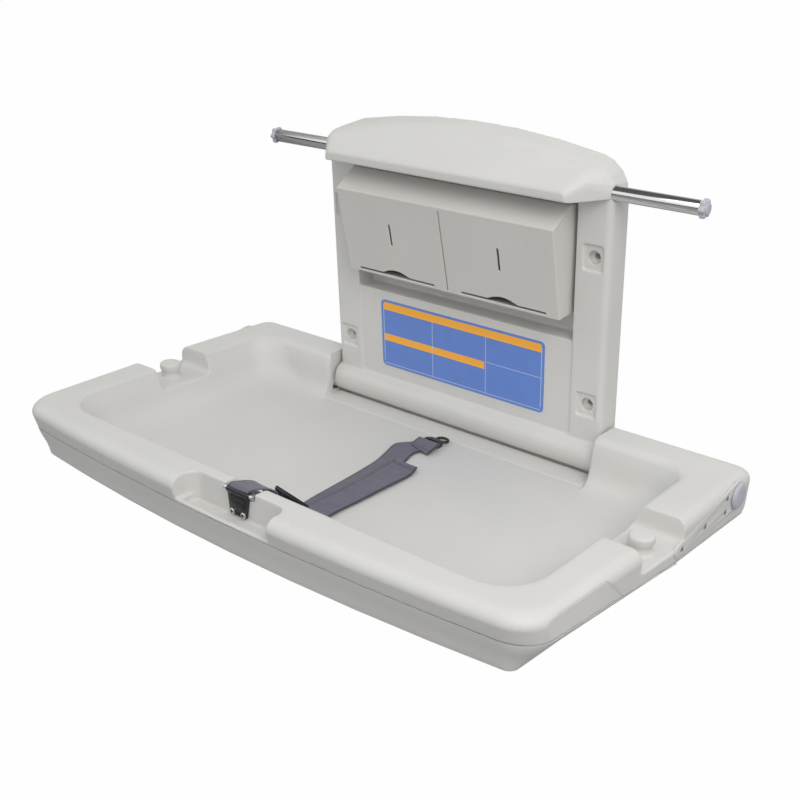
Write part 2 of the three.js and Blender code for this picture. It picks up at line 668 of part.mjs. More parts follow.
function basinRing(lean, rearLean, grow) {
  const half = BASIN_HALF - lean + grow;
  const rear = BASIN_REAR - rearLean + grow;
  const channel = CHANNEL_HALF + grow;
  const corner = { y: BASIN_FRONT + lean - grow, r: BASIN_CORNER };
  const far = { y: rear, r: Math.min(BASIN_REAR_CORNER, half - channel - 2 * CHANNEL_ROUND) };
  return roundedRing([
    { x: -half, ...corner }, { x: half, ...corner }, { x: half, ...far },
    { x: channel, y: rear, r: CHANNEL_ROUND }, { x: channel, y: BEYOND },
    { x: -channel, y: BEYOND }, { x: -channel, y: rear, r: CHANNEL_ROUND }, { x: -half, ...far },
  ]);
}

function basin(grow) {
  const [, lean, rearLean] = BASIN_LEVELS[0];
  const rings = [level(basinRing(lean, rearLean, grow), RIM + BEYOND)];
  for (const [z, sideLean, backLean] of BASIN_LEVELS) {
    const sink = (grow * (RIM - z)) / (RIM - FLOOR);
    rings.push(level(basinRing(sideLean, backLean, grow), z - sink));
  }
  return loft(rings, onZ);
}

// A sector of the fold about the hinge axis, between two radii
function foldSector(inner, outer, spread) {
  const start = Math.atan2(LUG_FOOT.z, LUG_FOOT.y) + BED_TILT;
  const shape = new THREE.Shape();
  shape.absarc(0, 0, outer, start - spread, start + FOLD + spread);
  if (inner) shape.absarc(0, 0, inner, start + FOLD + spread, start - spread, true);
  else shape.lineTo(0, 0);
  return shape;
}

// Room that the plate's lug needs over the whole fold: its foot in the end wall, all of it behind
function lugSweep() {
  const arm = Math.hypot(LUG_FOOT.y, LUG_FOOT.z);
  const reach = LUG_FOOT.r + LUG_CLEAR;
  const spread = Math.asin(reach / arm);
  const slot = alongX(foldSector(arm - reach, arm + reach, spread), CHANNEL_HALF - 2, HUB_X);
  const end = LUG_END + LUG_CLEAR;
  const pocket = alongX(foldSector(0, arm + reach, spread), HUB_X - RUNNING, end);
  const bar = alongX(lugBar(LUG_CLEAR), HUB_X - RUNNING, end);
  const turns = [BED_TILT, BED_TILT + FOLD].map(
    (turn) => bar.rotate([THREE.MathUtils.radToDeg(turn), 0, 0]));
  const room = box(0, BED_HALF, -BEYOND, BEYOND, -BEYOND, RIM - WALL - 1);
  return join([slot, pocket, ...turns]).intersect(room);
}

function hingeRib(x) {
  const plate = box(x, x + BUSH_LENGTH, BUSH_RIB.front, REAR_RADIUS, BUSH_RIB.low, RIM - 2);
  return plate.intersect(trayOuter(1, 0)).subtract(basin(WALL / 2));
}

const coverOutline = (grow) => taperedBar(
  { a: 0, b: 0, r: COVER_HUB + grow }, { a: COVER_TIP.y, b: COVER_TIP.z, r: COVER_TIP.r + grow });

// What stays solid inside the tray: end walls, the handle's block, cover seats, posts and columns
function trayCavity(shell) {
  const wall = CHANNEL_HALF + WALL;
  const recess = RECESS_HALF + 3 * WALL;
  let cavity = trayOuter(WALL, 1).subtract(shell);
  cavity = cavity.subtract(box(-wall, wall, STRIP_FRONT, BEYOND, -BEYOND, BEYOND));
  cavity = cavity.subtract(box(-recess, recess, 2 * BED_FRONT, BASIN_FRONT, -BEYOND, BEYOND));
  const gap = GAP_LENGTH / 2 + 2 * WALL;
  const seat = alongX(coverOutline(WALL), BED_HALF - COVER_PLATE - 2 * WALL, BED_HALF + BEYOND);
  const post = box(0, 2 * BED_HALF, POST_Y - gap, POST_Y + gap, -BEYOND, BEYOND);
  for (const kept of [seat, post]) cavity = cavity.subtract(kept).subtract(flipX(kept));
  for (const [x, y] of PAN_SCREWS) {
    cavity = cavity.subtract(alongZ(disc(COLUMN, x, y), -2 * BEYOND, BEYOND));
  }
  return cavity;
}

function handleRecess() {
  const depth = RECESS_BACK - BED_FRONT + BEYOND;
  const mouth = roundedRectangle(2 * RECESS_HALF, depth, RECESS_ROUND, 0, RECESS_BACK - depth / 2);
  const scoop = roundedRectangle(2 * (RECESS_HALF - WALL), SCOOP_LENGTH, SCOOP_ROUND, 0,
    RECESS_BACK - SCOOP_LENGTH / 2);
  return alongZ(mouth, RECESS_FLOOR, BEYOND)
    .add(alongZ(scoop, RECESS_FLOOR - SCOOP_DEPTH, RECESS_FLOOR + 1));
}

// The scoop's own walls, which hang into the pan
function recessCup(grow) {
  const half = RECESS_HALF - WALL + CUP_WALL + grow;
  const front = RECESS_BACK - SCOOP_LENGTH - CUP_WALL - grow;
  const low = RECESS_FLOOR - SCOOP_DEPTH - CUP_WALL - grow;
  return box(-half, half, front, RECESS_BACK + WALL + grow, low, RECESS_FLOOR);
}

function bagGap() {
  const ring = roundedRectangle(GAP_LENGTH, 2 * (RIM - GAP_FLOOR), GAP_ROUND, POST_Y, RIM);
  return alongX(ring, BASIN_HALF - BEYOND, 2 * BED_HALF);
}

function bagPost() {
  const rise = POST_TOP - GAP_FLOOR;
  const profile = [[0, -POST_ROOT], [POST_RADIUS, -POST_ROOT], [POST_RADIUS, rise - 4],
    [POST_RADIUS - 1.4, rise - 1.2], [POST_RADIUS - 4, rise], [0, rise]];
  const lathe = new THREE.LatheGeometry(profile.map(([r, z]) => new THREE.Vector2(r, z)), ROUND);
  return solid(lathe.rotateX(Math.PI / 2).translate(POST_X, POST_Y, GAP_FLOOR));
}

// The floor's rear strip under the plate's roll, with a small step at its front
function rearStrip() {
  const shape = shapeOf([[STRIP_FRONT, FLOOR - WALL / 2], [FLOOR_REAR, FLOOR - WALL / 2],
    [FLOOR_REAR, FLOOR + STRIP_RISE], [STRIP_FRONT, FLOOR + STRIP_STEP]]);
  return alongX(shape, -CHANNEL_HALF, CHANNEL_HALF);
}

// Everything that is cut out of the tray's right side
function traySideCuts() {
  const seat = alongX(coverOutline(FIT), BED_HALF - COVER_PLATE - FIT, 2 * BED_HALF);
  const bushes = [BUSH_INNER_X, BUSH_OUTER_X].map(
    (x) => pinX(x - 1, x + BUSH_LENGTH + 1, BUSH_RADIUS + FIT));
  const bore = pinX(BED_HALF - COVER_SCREW_LENGTH - 2, BED_HALF, COVER_SCREW_SHANK + FIT);
  return [lugSweep(), bagGap(), seat, ...bushes,
    pinX(BED_HALF - 3 * WALL, BED_HALF + 1, CAP_SPIGOT + 2 * FIT),
    pinX(CHANNEL_HALF + WALL, BED_HALF - WALL, PIN_RADIUS + RUNNING),
    ...COVER_SCREWS.map(([y, z]) => bore.translate([0, y, z]))];
}

function trayScrewBores() {
  const pan = PAN_SCREWS.map(([x, y, z]) =>
    alongZ(disc(PAN_SCREW_SHANK + FIT, x, y), z - 1, z + PAN_SCREW_BITE + 1));
  const bracket = BRACKET_SCREWS.map(([x, z]) =>
    alongY(disc(SMALL_SHANK + FIT, x, z), RECESS_BACK - 1, RECESS_BACK + SMALL_LENGTH));
  return [...pan, ...bracket];
}

function bedTray() {
  const shell = basin(WALL);
  const channel = box(-CHANNEL_HALF, CHANNEL_HALF, FLOOR_REAR, 2 * BEYOND, -2 * BEYOND, 2 * BEYOND);
  const bulge = shell.intersect(box(-BED_HALF, BED_HALF, BED_FRONT, FLOOR_REAR, FLOOR - WALL - 1, 0));
  let body = trayOuter(0, 0).add(bulge).subtract(trayCavity(shell)).add(recessCup(0));
  for (const [x, y, z] of PAN_SCREWS) {
    body = body.add(alongZ(disc(COLUMN, x, y), z, RIM - 2 * WALL).subtract(basin(WALL / 2)));
  }
  for (const x of [BUSH_INNER_X, BUSH_OUTER_X]) {
    body = body.add(hingeRib(x)).add(flipX(hingeRib(x)));
  }
  body = body.subtract(basin(0)).add(rearStrip()).subtract(channel).subtract(handleRecess());
  body = body.subtract(
    box(-NOTCH_HALF, NOTCH_HALF, BED_FRONT, BASIN_FRONT + 20, RIM - NOTCH_DEPTH, BEYOND));
  for (const cut of traySideCuts()) body = body.subtract(cut).subtract(flipX(cut));
  for (const cut of trayScrewBores()) body = body.subtract(cut);
  return body.add(bagPost()).add(flipX(bagPost()));
}

function panForm(inset, rise) {
  const rings = PAN_ROWS.map(([share, side, front]) => {
    const corner = THREE.MathUtils.lerp(FRONT_CORNER, PAN_CORNER, share);
    const outline = bedOutline(SIDE_LEAN + side * PAN_SIDE_LEAN + inset,
      FRONT_LEAN + front * (PAN_FRONT_LEAN - FRONT_LEAN) + inset, inset, corner);
    return outline.map((p) => {
      const top = skirtAt(p.y) - FIT + rise;
      return new THREE.Vector3(p.x, p.y, THREE.MathUtils.lerp(top, PAN + inset, share));
    });
  });
  return loft(rings, onZ).intersect(rearForm(REAR_RADIUS - inset, PAN + inset));
}

function panChannel(grow) {
  const half = CHANNEL_HALF + grow;
  return box(-half, half, PAN_REAR - grow, BEYOND, -2 * BEYOND, BEYOND);
}

function bedPan() {
  let hollow = panForm(WALL, 1).subtract(panChannel(WALL));
  for (const [x, y, z] of PAN_SCREWS) {
    hollow = hollow.subtract(alongZ(disc(COLUMN, x, y), 2 * PAN, z - FIT));
  }
  let body = panForm(0, 0).subtract(panChannel(0)).subtract(hollow);
  const room = box(-BED_HALF, BED_HALF, BED_FRONT, FLOOR_REAR + 1, FLOOR - WALL - 1, 0);
  body = body.subtract(basin(WALL + FIT).intersect(room)).subtract(recessCup(FIT));
  body = body.subtract(lugSweep()).subtract(flipX(lugSweep()));
  for (const [x, y, z] of PAN_SCREWS) {
    body = body.subtract(alongZ(disc(PAN_SCREW_SHANK + FIT, x, y), 2 * PAN, z));
    body = body.subtract(alongZ(disc(PAN_SCREW_HEAD + FIT, x, y), 2 * PAN, z - PAN_SCREW_GRIP));
  }
  return body;
}

function sideCover() {
  const face = BED_HALF - COVER_PLATE;
  const seat = BED_HALF - COVER_SCREW_SEAT;
  let cover = alongX(coverOutline(0), face, BED_HALF);
  cover = cover.subtract(pinX(face - 1, BED_HALF + 1, CAP_SPIGOT + FIT));
  for (const [y, z] of COVER_SCREWS) {
    cover = cover.subtract(pinX(face - 1, BED_HALF + 1, COVER_SCREW_SHANK + FIT).translate([0, y, z]));
    cover = cover.subtract(pinX(seat, BED_HALF + 1, COVER_SCREW_RADIUS + FIT).translate([0, y, z]));
  }
  return cover;
}

function pivotCap() {
  const root = BED_HALF - COVER_PLATE - 2;
  const under = BED_HALF + FIT;
  const top = BED_HALF + CAP_PROUD;
  return turnedX([[root, 0], [root, CAP_SPIGOT], [under, CAP_SPIGOT], [under, CAP_DISC],
    [top - CAP_BEVEL, CAP_DISC], [top, CAP_DISC - CAP_BEVEL], [top, 0]]);
}

function coverScrew() {
  const tip = BED_HALF - COVER_SCREW_LENGTH;
  const head = BED_HALF - COVER_SCREW_HEAD;
  return turnedX([[tip, 0], [tip, COVER_SCREW_SHANK], [head, COVER_SCREW_SHANK],
    [head, COVER_SCREW_RADIUS], [BED_HALF, COVER_SCREW_RADIUS * 0.8], [BED_HALF, 0]], SCREW_ROUND);
}

function buildHinges() {
  const ends = { inner: BUSH_INNER_X, outer: BUSH_OUTER_X };
  const bore = PIN_RADIUS + RUNNING;
  for (const [end, x] of Object.entries(ends)) {
    placePair(bed, `hinge_bush_${end}`, tube(x, x + BUSH_LENGTH, bore, BUSH_RADIUS), NYLON);
  }
  const damperEnd = BUSH_OUTER_X - FIT;
  placePair(bed, 'damper', tube(damperEnd - DAMPER_LENGTH, damperEnd, bore, DAMPER_RADIUS), BLACK);
  placePair(bed, 'side_cover', sideCover(), SHELL);
  placePair(bed, 'pivot_cap', pivotCap(), CAP);
  COVER_SCREWS.forEach(([y, z], i) => {
    placePair(bed, `side_cover_screw_${i + 1}`, coverScrew().translate([0, y, z]), STEEL);
  });
}

function buildPan() {
  place(bed, 'bed_pan', bedPan(), SHELL);
  PAN_SCREWS.forEach(([x, y, z], i) => {
    const head = z - PAN_SCREW_GRIP - FIT;
    const low = head - PAN_SCREW_DEEP;
    const tip = z + PAN_SCREW_BITE;
    const profile = [[0, low], [PAN_SCREW_HEAD, low], [PAN_SCREW_HEAD, head], [PAN_SCREW_SHANK, head],
      [PAN_SCREW_SHANK, tip], [0, tip]];
    const lathe = new THREE.LatheGeometry(profile.map(([r, h]) => new THREE.Vector2(r, h)), SCREW_ROUND);
    place(bed, `pan_screw_${i + 1}`, solid(lathe.rotateX(Math.PI / 2).translate(x, y, 0)), STEEL);
  });
}

function strapBracket() {
  const back = RECESS_BACK - FIT;
  const plate = shapeOf([[-BRACKET_HALF_BOTTOM, BRACKET_BOTTOM], [BRACKET_HALF_BOTTOM, BRACKET_BOTTOM],
    [BRACKET_HALF_TOP, BAR_Z], [-BRACKET_HALF_TOP, BAR_Z]]);
  const barrel = pinX(-BRACKET_HALF_TOP, BRACKET_HALF_TOP, BARREL).translate([0, BAR_Y, BAR_Z]);
  const bore = pinX(-BAR_HALF, BAR_HALF, BAR_RADIUS + FIT).translate([0, BAR_Y, BAR_Z]);
  let body = alongY(plate, back - BRACKET_PLATE, back).add(barrel).subtract(bore);
  for (const [x, z] of BRACKET_SCREWS) {
    body = body.subtract(alongY(disc(SMALL_SHANK + FIT, x, z), back - BRACKET_PLATE - 1, back + 1));
  }
  return body;
}

function smallScrew(length) {
  const profile = [[0, -length], [SMALL_SHANK, -length], [SMALL_SHANK, FIT], [SMALL_SCREW, FIT],
    [SMALL_SCREW * 0.75, SMALL_SCREW_RISE], [0, SMALL_SCREW_RISE]];
  return solid(new THREE.LatheGeometry(profile.map(([r, h]) => new THREE.Vector2(r, h)), SCREW_ROUND));
}

// A band of webbing, flat across X, along a centre line of its lower face
function band(line, width) {
  const half = width / 2;
  const rings = line.map(([x, y, z], i) => {
    const [, y0, z0] = line[Math.max(0, i - 1)];
    const [, y1, z1] = line[Math.min(line.length - 1, i + 1)];
    const run = Math.hypot(y1 - y0, z1 - z0);
    const up = new THREE.Vector3(0, z0 - z1, y1 - y0).multiplyScalar(WEB / run);
    const low = [-half, half].map((across) => new THREE.Vector3(x + across, y, z));
    return [...low, ...low.map((p) => p.clone().add(up)).reverse()];
  });
  return loft(rings, onY);
}

function camBuckle() {
  const section = taperedBar({ a: -BUCKLE.lean, b: BUCKLE.rise, r: BUCKLE.r },
    { a: BUCKLE.lean, b: -BUCKLE.rise, r: BUCKLE.r });
  const body = alongX(section, -BUCKLE.half, BUCKLE.half).rotate([0, BUCKLE.turn, 0]);
  return body.translate([BUCKLE.x, BUCKLE.y, BUCKLE.z]);
}

function strapClip() {
  const outline = roundedRectangle(CLIP.width, CLIP.length, CLIP.corner, CLIP.x, CLIP_Y + CLIP.length / 2);
  const ring = new THREE.TorusGeometry(RING.radius, RING.wire, SCREW_ROUND, ROUND);
  ring.scale(RING.wide, RING.long, 1).translate(RING.x, CLIP_Y + RING.y, STRAP_LOW + RING.z);
  return alongZ(outline, STRAP_LOW, STRAP_LOW + CLIP.thick).add(solid(ring));
}

function buildStrap() {
  place(bed, 'strap_bracket', strapBracket(), BLACK);
  place(bed, 'roller_bar', pinX(-BAR_HALF, BAR_HALF, BAR_RADIUS).translate([0, BAR_Y, BAR_Z]), STEEL);
  BRACKET_SCREWS.forEach(([x, z], i) => {
    const face = RECESS_BACK - FIT - BRACKET_PLATE;
    const screw = smallScrew(SMALL_LENGTH).rotate([180, 0, 0]).translate([x, face, z]);
    place(bed, `bracket_screw_${i ? 'right' : 'left'}`, screw, STEEL);
  });
  place(bed, 'strap_front', band(FRONT_LINE, STRAP_NARROW), WEBBING);
  place(bed, 'cam_buckle', camBuckle(), BLACK);
  place(bed, 'strap_main', band(MAIN_LINE, STRAP), WEBBING);
  place(bed, 'strap_tail', band(TAIL_LINE, STRAP), WEBBING);
  place(bed, 'strap_clip', strapClip(), BLACK);
}

buildWallUnit();
place(bed, 'bed_tray', bedTray(), SHELL);
buildPan();
buildHinges();
buildStrap();

export default part;
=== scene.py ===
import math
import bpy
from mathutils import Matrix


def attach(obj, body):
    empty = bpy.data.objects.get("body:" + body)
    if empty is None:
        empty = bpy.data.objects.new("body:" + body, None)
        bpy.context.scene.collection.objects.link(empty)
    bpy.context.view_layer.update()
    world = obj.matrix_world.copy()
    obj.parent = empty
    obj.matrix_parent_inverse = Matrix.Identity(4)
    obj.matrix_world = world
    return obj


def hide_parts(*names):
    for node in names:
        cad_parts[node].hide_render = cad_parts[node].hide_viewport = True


bl_info = {
    "name": "Baby Changing Station",
    "version": (1, 0, 0),
    "blender": (4, 5, 0),
    "location": "View3D > Sidebar > Changing Station",
    "description": "Dresses a wall-mounted changing station: moulded bed, back plate, rail and strap",
    "category": "Object",
}

import bmesh
import bpy
from mathutils import Matrix, Vector

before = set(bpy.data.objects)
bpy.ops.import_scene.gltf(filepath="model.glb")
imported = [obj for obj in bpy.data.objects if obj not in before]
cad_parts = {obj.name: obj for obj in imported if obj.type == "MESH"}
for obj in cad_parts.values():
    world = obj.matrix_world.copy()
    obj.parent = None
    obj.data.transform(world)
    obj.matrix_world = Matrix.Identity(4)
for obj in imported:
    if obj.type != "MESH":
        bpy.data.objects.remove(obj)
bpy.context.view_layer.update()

MM = 0.001
HINGE = Vector((0.0, -50.0, -8.0)) * MM
BED = Matrix.Translation(HINGE) @ Matrix.Rotation(math.radians(-5.0), 4, "X")

# Bed, in millimetres from the hinge axis, front towards -Y
BED_HALF, BED_TAPER, TAPER_FROM = 424.0, 14.0, -170.25
BED_FRONT, BED_BOW = -454.0, 22.0
RIM, FLOOR, PAN, RIM_ROUND = 21.0, -46.0, -54.5, 14.0
SKIRT_REAR, SKIRT_SLOPE = -34.5, -0.05
REAR_RADIUS, CHANNEL_HALF, FLOOR_REAR, WALL = 48.0, 230.0, 20.0, 4.0
PAN_REAR = -62.0
# each row: share of the pan's height, how far its sides and its front have come in
PAN_ROWS = (
    (0, 0, 0), (0.08, 0.05, 0.08), (0.22, 0.18, 0.25), (0.38, 0.39, 0.45), (0.55, 0.62, 0.65),
    (0.75, 0.83, 0.82), (0.92, 0.96, 0.95), (0.98, 1.03, 1.1), (1, 1.1, 1.3),
)
BASIN_HALF, BASIN_FRONT, BASIN_REAR = 366.0, -394.0, 2.0
# each row: height, lean of the front and side walls, lean of the rear wall
BASIN_LEVELS = (
    (21, -7, 6), (20, -4, 8.6), (18.5, -1.6, 11.6), (14, 0, 15), (8, 2.6, 16.2), (0, 6, 17.5),
    (-10, 9.4, 18.2), (-20, 13, 19), (-29, 18, 21), (-36, 24, 24), (-40.5, 31, 28),
    (-43.5, 41, 33), (-45.3, 50, 39), (-46, 60, 46),
)
POST = (394.0, -187.0)
GAP_FLOOR, GAP_LENGTH, POST_TOP = -9.0, 94.0, 14.0
RECESS_HALF, RECESS_BACK, RECESS_FLOOR, LIP_BACK = 77.0, -417.0, -8.0, -441.0
NOTCH_HALF, NOTCH_FLOOR = 24.0, 11.5
PAN_SCREWS = ((296.8, -412, -44), (161.1, -424, -44), (374, -290.6, -33), (390, -95, -34))
COVER_SCREWS = ((-30, 7), (-31, -11), (-86, -8), (-144, -13))


# Shapes

def collect(name, bm, place=None):
    """A new object whose mesh is bm, in metres, with its place in the mesh."""
    mesh = bpy.data.meshes.new(name)
    bmesh.ops.recalc_face_normals(bm, faces=bm.faces)
    bm.to_mesh(mesh)
    bm.free()
    if place is not None:
        mesh.transform(place)
    obj = bpy.data.objects.new(name, mesh)
    bpy.context.scene.collection.objects.link(obj)
    return obj


def rounded_ring(corners, steps=10):
    """Points of a closed outline whose corners (x, y, r) are rounded by arcs."""
    ring = []
    count = len(corners)
    for i, (x, y, r) in enumerate(corners):
        here = Vector((x, y))
        if not r:
            ring.append(here)
            continue
        back = (Vector(corners[i - 1][:2]) - here).normalized()
        on = (Vector(corners[(i + 1) % count][:2]) - here).normalized()
        half = back.angle(on) / 2
        centre = here + (back + on).normalized() * (r / math.sin(half))
        start = here + back * (r / math.tan(half)) - centre
        end = here + on * (r / math.tan(half)) - centre
        sweep = math.atan2(start.x * end.y - start.y * end.x, start.dot(end))
        for s in range(steps + 1):
            turn = Matrix.Rotation(sweep * s / steps, 2)
            ring.append(centre + turn @ start)
    return ring


def loft(name, rings, place=None):
    """A closed skin through rings of equal length, in millimetres."""
    bm = bmesh.new()
    loops = [[bm.verts.new(Vector(p) * MM) for p in ring] for ring in rings]
    count = len(loops[0])
    for low, high in zip(loops, loops[1:]):
        for i in range(count):
            j = (i + 1) % count
            bm.faces.new((low[i], low[j], high[j], high[i]))
    bm.faces.new(list(reversed(loops[0])))
    bm.faces.new(loops[-1])
    return collect(name, bm, place)


def level(ring, z):
    return [(p.x, p.y, z) for p in ring]


def prism(name, outline, axis, low, high, place=None):
    """An outline extruded along an axis: X takes (y, z), Y takes (x, z) and Z takes (x, y)."""
    order = {"X": lambda a, b, c: (c, a, b), "Y": lambda a, b, c: (a, c, b), "Z": lambda a, b, c: (a, b, c)}[axis]
    rings = [[order(p[0], p[1], at) for p in outline] for at in (low, high)]
    return loft(name, rings, place)


def block(name, lows, highs, place=None):
    (x0, y0, z0), (x1, y1, z1) = lows, highs
    return prism(name, ((x0, y0), (x1, y0), (x1, y1), (x0, y1)), "Z", z0, z1, place)


def disc(radius, x=0.0, y=0.0, count=32):
    turns = [2 * math.pi * i / count for i in range(count)]
    return [(x + radius * math.cos(t), y + radius * math.sin(t)) for t in turns]


def turned(name, profile, axis, at, count=48, place=None):
    """A turned piece: profile holds (place along the axis, radius), at is a point on the axis."""
    bm = bmesh.new()
    loops = []
    for along, radius in profile:
        loop = []
        for i in range(count):
            t = 2 * math.pi * i / count
            a, b = radius * math.cos(t), radius * math.sin(t)
            local = {"X": (along, a, b), "Y": (b, along, a), "Z": (a, b, along)}[axis]
            loop.append(bm.verts.new((Vector(local) + Vector(at)) * MM))
        loops.append(loop)
    for low, high in zip(loops, loops[1:]):
        for i in range(count):
            j = (i + 1) % count
            bm.faces.new((low[i], low[j], high[j], high[i]))
    bm.faces.new(list(reversed(loops[0])))
    bm.faces.new(loops[-1])
    return collect(name, bm, place)


def settle(obj):
    """Makes the evaluated shape of obj its mesh, and drops the modifiers."""
    graph = bpy.context.evaluated_depsgraph_get()
    mesh = bpy.data.meshes.new_from_object(obj.evaluated_get(graph))
    obj.modifiers.clear()
    old = obj.data
    obj.data = mesh
    bpy.data.meshes.remove(old)
    return obj


def combine(obj, operation, *tools):
    """Joins, cuts or intersects obj with closed tools, which are used up."""
    for tool in tools:
        step = obj.modifiers.new("combine", "BOOLEAN")
        step.operation = operation
        step.solver = "MANIFOLD"
        step.object = tool
        settle(obj)
        bpy.data.objects.remove(tool)
    return obj


def soften(obj, voxel, rounds, share):
    """Rounds every edge as a moulding's are: an even skin, smoothed, then thinned where it is flat."""
    skin = obj.modifiers.new("skin", "REMESH")
    skin.mode = "VOXEL"
    skin.voxel_size = voxel * MM
    flow = obj.modifiers.new("flow", "SMOOTH")
    flow.factor = 0.5
    flow.iterations = rounds
    thin = obj.modifiers.new("thin", "DECIMATE")
    thin.ratio = share
    settle(obj)
    obj.data.shade_smooth()
    return obj


def smooth_edges(obj, degrees=35.0):
    """Smooth faces, with the edges sharper than the angle kept crisp."""
    bm = bmesh.new()
    bm.from_mesh(obj.data)
    limit = math.radians(degrees)
    for face in bm.faces:
        face.smooth = True
    for edge in bm.edges:
        edge.smooth = len(edge.link_faces) == 2 and edge.calc_face_angle(0.0) < limit
    bm.to_mesh(obj.data)
    bm.free()
    return obj


def copied(node, name):
    """A merged copy of a CAD node's mesh as a new object."""
    bm = bmesh.new()
    bm.from_mesh(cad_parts[node].data)
    bmesh.ops.remove_doubles(bm, verts=bm.verts, dist=0.02 * MM)
    bmesh.ops.dissolve_degenerate(bm, edges=bm.edges, dist=0.005 * MM)
    mesh = bpy.data.meshes.new(name)
    bm.to_mesh(mesh)
    bm.free()
    obj = bpy.data.objects.new(name, mesh)
    bpy.context.scene.collection.objects.link(obj)
    return obj


def bevelled(obj, width, segments=3, degrees=40.0):
    edge = obj.modifiers.new("edge", "BEVEL")
    edge.width = width * MM
    edge.segments = segments
    edge.limit_method = "ANGLE"
    edge.angle_limit = math.radians(degrees)
    settle(obj)
    return smooth_edges(obj)


def finish_piece(obj, body, slot, material, *nodes):
    obj.data.materials.clear()
    obj.data.materials.append(material)
    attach(obj, body)
    if nodes:
        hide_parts(*nodes)
    return obj


# Finishes

class Value:
    """A shader socket that takes part in Python expressions."""

    def __init__(self, finish, socket):
        self.finish = finish
        self.socket = socket

    def math(self, operation, *others):
        values = {i + 1: other for i, other in enumerate(others)}
        return self.finish.node("ShaderNodeMath", {"operation": operation}, {0: self, **values})

    def __add__(self, other):
        return self.math("ADD", other)

    def __sub__(self, other):
        return self.math("SUBTRACT", other)

    def __rsub__(self, other):
        return self.finish.node("ShaderNodeMath", {"operation": "SUBTRACT"}, {0: other, 1: self})

    def __mul__(self, other):
        return self.math("MULTIPLY", other)

    def __truediv__(self, other):
        return self.math("DIVIDE", other)

    def __gt__(self, other):
        return self.math("GREATER_THAN", other)

    def __lt__(self, other):
        return self.math("LESS_THAN", other)

    __radd__ = __add__
    __rmul__ = __mul__


class Finish:
    """One procedural material."""

    def __init__(self, name):
        self.material = bpy.data.materials.new(name)
        self.material.use_nodes = True
        self.tree = self.material.node_tree
        self.shader = self.tree.nodes["Principled BSDF"]

    def node(self, kind, settings=None, sockets=None, output=0):
        made = self.tree.nodes.new(kind)
        for key, value in (settings or {}).items():
            if key == "stops":
                self.stops(made.color_ramp, value)
            else:
                setattr(made, key, value)
        for key, value in (sockets or {}).items():
            self.feed(made.inputs[key], value)
        return Value(self, made.outputs[output])

    def stops(self, ramp, stops):
        while len(ramp.elements) > len(stops):
            ramp.elements.remove(ramp.elements[-1])
        while len(ramp.elements) < len(stops):
            ramp.elements.new(0.5)
        for element, (at, value) in zip(ramp.elements, stops):
            element.position = at
            element.color = (value, value, value, 1.0)

    def feed(self, socket, value):
        if isinstance(value, Value):
            self.tree.links.new(value.socket, socket)
        else:
            socket.default_value = value

    def set(self, **sockets):
        for key, value in sockets.items():
            self.feed(self.shader.inputs[key.replace("_", " ")], value)
        return self

    def place(self, stretch=(1.0, 1.0, 1.0)):
        spot = self.node("ShaderNodeTexCoord", output="Object")
        return self.node("ShaderNodeMapping", {}, {"Vector": spot, "Scale": stretch})

    def noise(self, scale, detail=2.0, stretch=(1.0, 1.0, 1.0)):
        sockets = {"Vector": self.place(stretch), "Scale": scale, "Detail": detail}
        return self.node("ShaderNodeTexNoise", {}, sockets, "Fac")

    def mix(self, share, low, high):
        return self.node("ShaderNodeMix", {"data_type": "RGBA"}, {0: share, 6: low, 7: high}, 2)

    def ramp(self, value, *stops):
        return self.node("ShaderNodeValToRGB", {"stops": stops}, {"Fac": value}, "Color")

    def bump(self, height, depth, strength=1.0, under=None):
        sockets = {"Height": height, "Distance": depth, "Strength": strength}
        if under is not None:
            sockets["Normal"] = under
        return self.node("ShaderNodeBump", {}, sockets)


class Room(Finish):
    """The world's shader."""

    def __init__(self, world):
        self.tree = world.node_tree
        self.shader = self.tree.nodes["Background"]
        self.shader.inputs["Color"].default_value = (1.0, 1.0, 1.0, 1.0)


def tint(color, gain):
    return tuple(min(1.0, c * gain) for c in color[:3]) + (1.0,)


def moulded(name, color, roughness, grain):
    """Grained moulded plastic: slight mottling, a fine pebble and faint scuffs."""
    finish = Finish(name)
    cloud = finish.noise(9.0, 3.0)
    scuff = finish.ramp(finish.noise(60.0, 4.0, (1.0, 5.0, 1.0)), (0.55, 0.0), (0.8, 1.0))
    pebble = finish.noise(900.0, 2.0)
    base = finish.mix(cloud, tint(color, 0.95), tint(color, 1.04))
    finish.set(
        Base_Color=finish.mix(scuff * 0.12, base, tint(color, 0.86)),
        Roughness=roughness + (cloud - 0.5) * 0.12 + scuff * 0.08,
        Normal=finish.bump(pebble, 0.00012 * grain, 0.5),
    )
    finish.shader.inputs["Specular IOR Level"].default_value = 0.4
    return finish.material


def polished(name, color, roughness):
    """Bright metal with fine lengthwise polishing lines."""
    finish = Finish(name)
    lines = finish.noise(700.0, 3.0, (0.02, 1.0, 1.0))
    cloud = finish.noise(30.0, 2.0)
    finish.set(
        Base_Color=finish.mix(cloud, tint(color, 0.93), tint(color, 1.03)),
        Metallic=1.0,
        Roughness=roughness + lines * 0.09,
        Normal=finish.bump(lines, 0.00002, 0.3),
    )
    return finish.material


def black_moulding(name, color):
    finish = Finish(name)
    cloud = finish.noise(120.0, 3.0)
    finish.set(
        Base_Color=finish.mix(cloud, tint(color, 0.8), tint(color, 1.5)),
        Roughness=0.2 + cloud * 0.16,
        Normal=finish.bump(finish.noise(1500.0), 0.00005, 0.4),
    )
    return finish.material


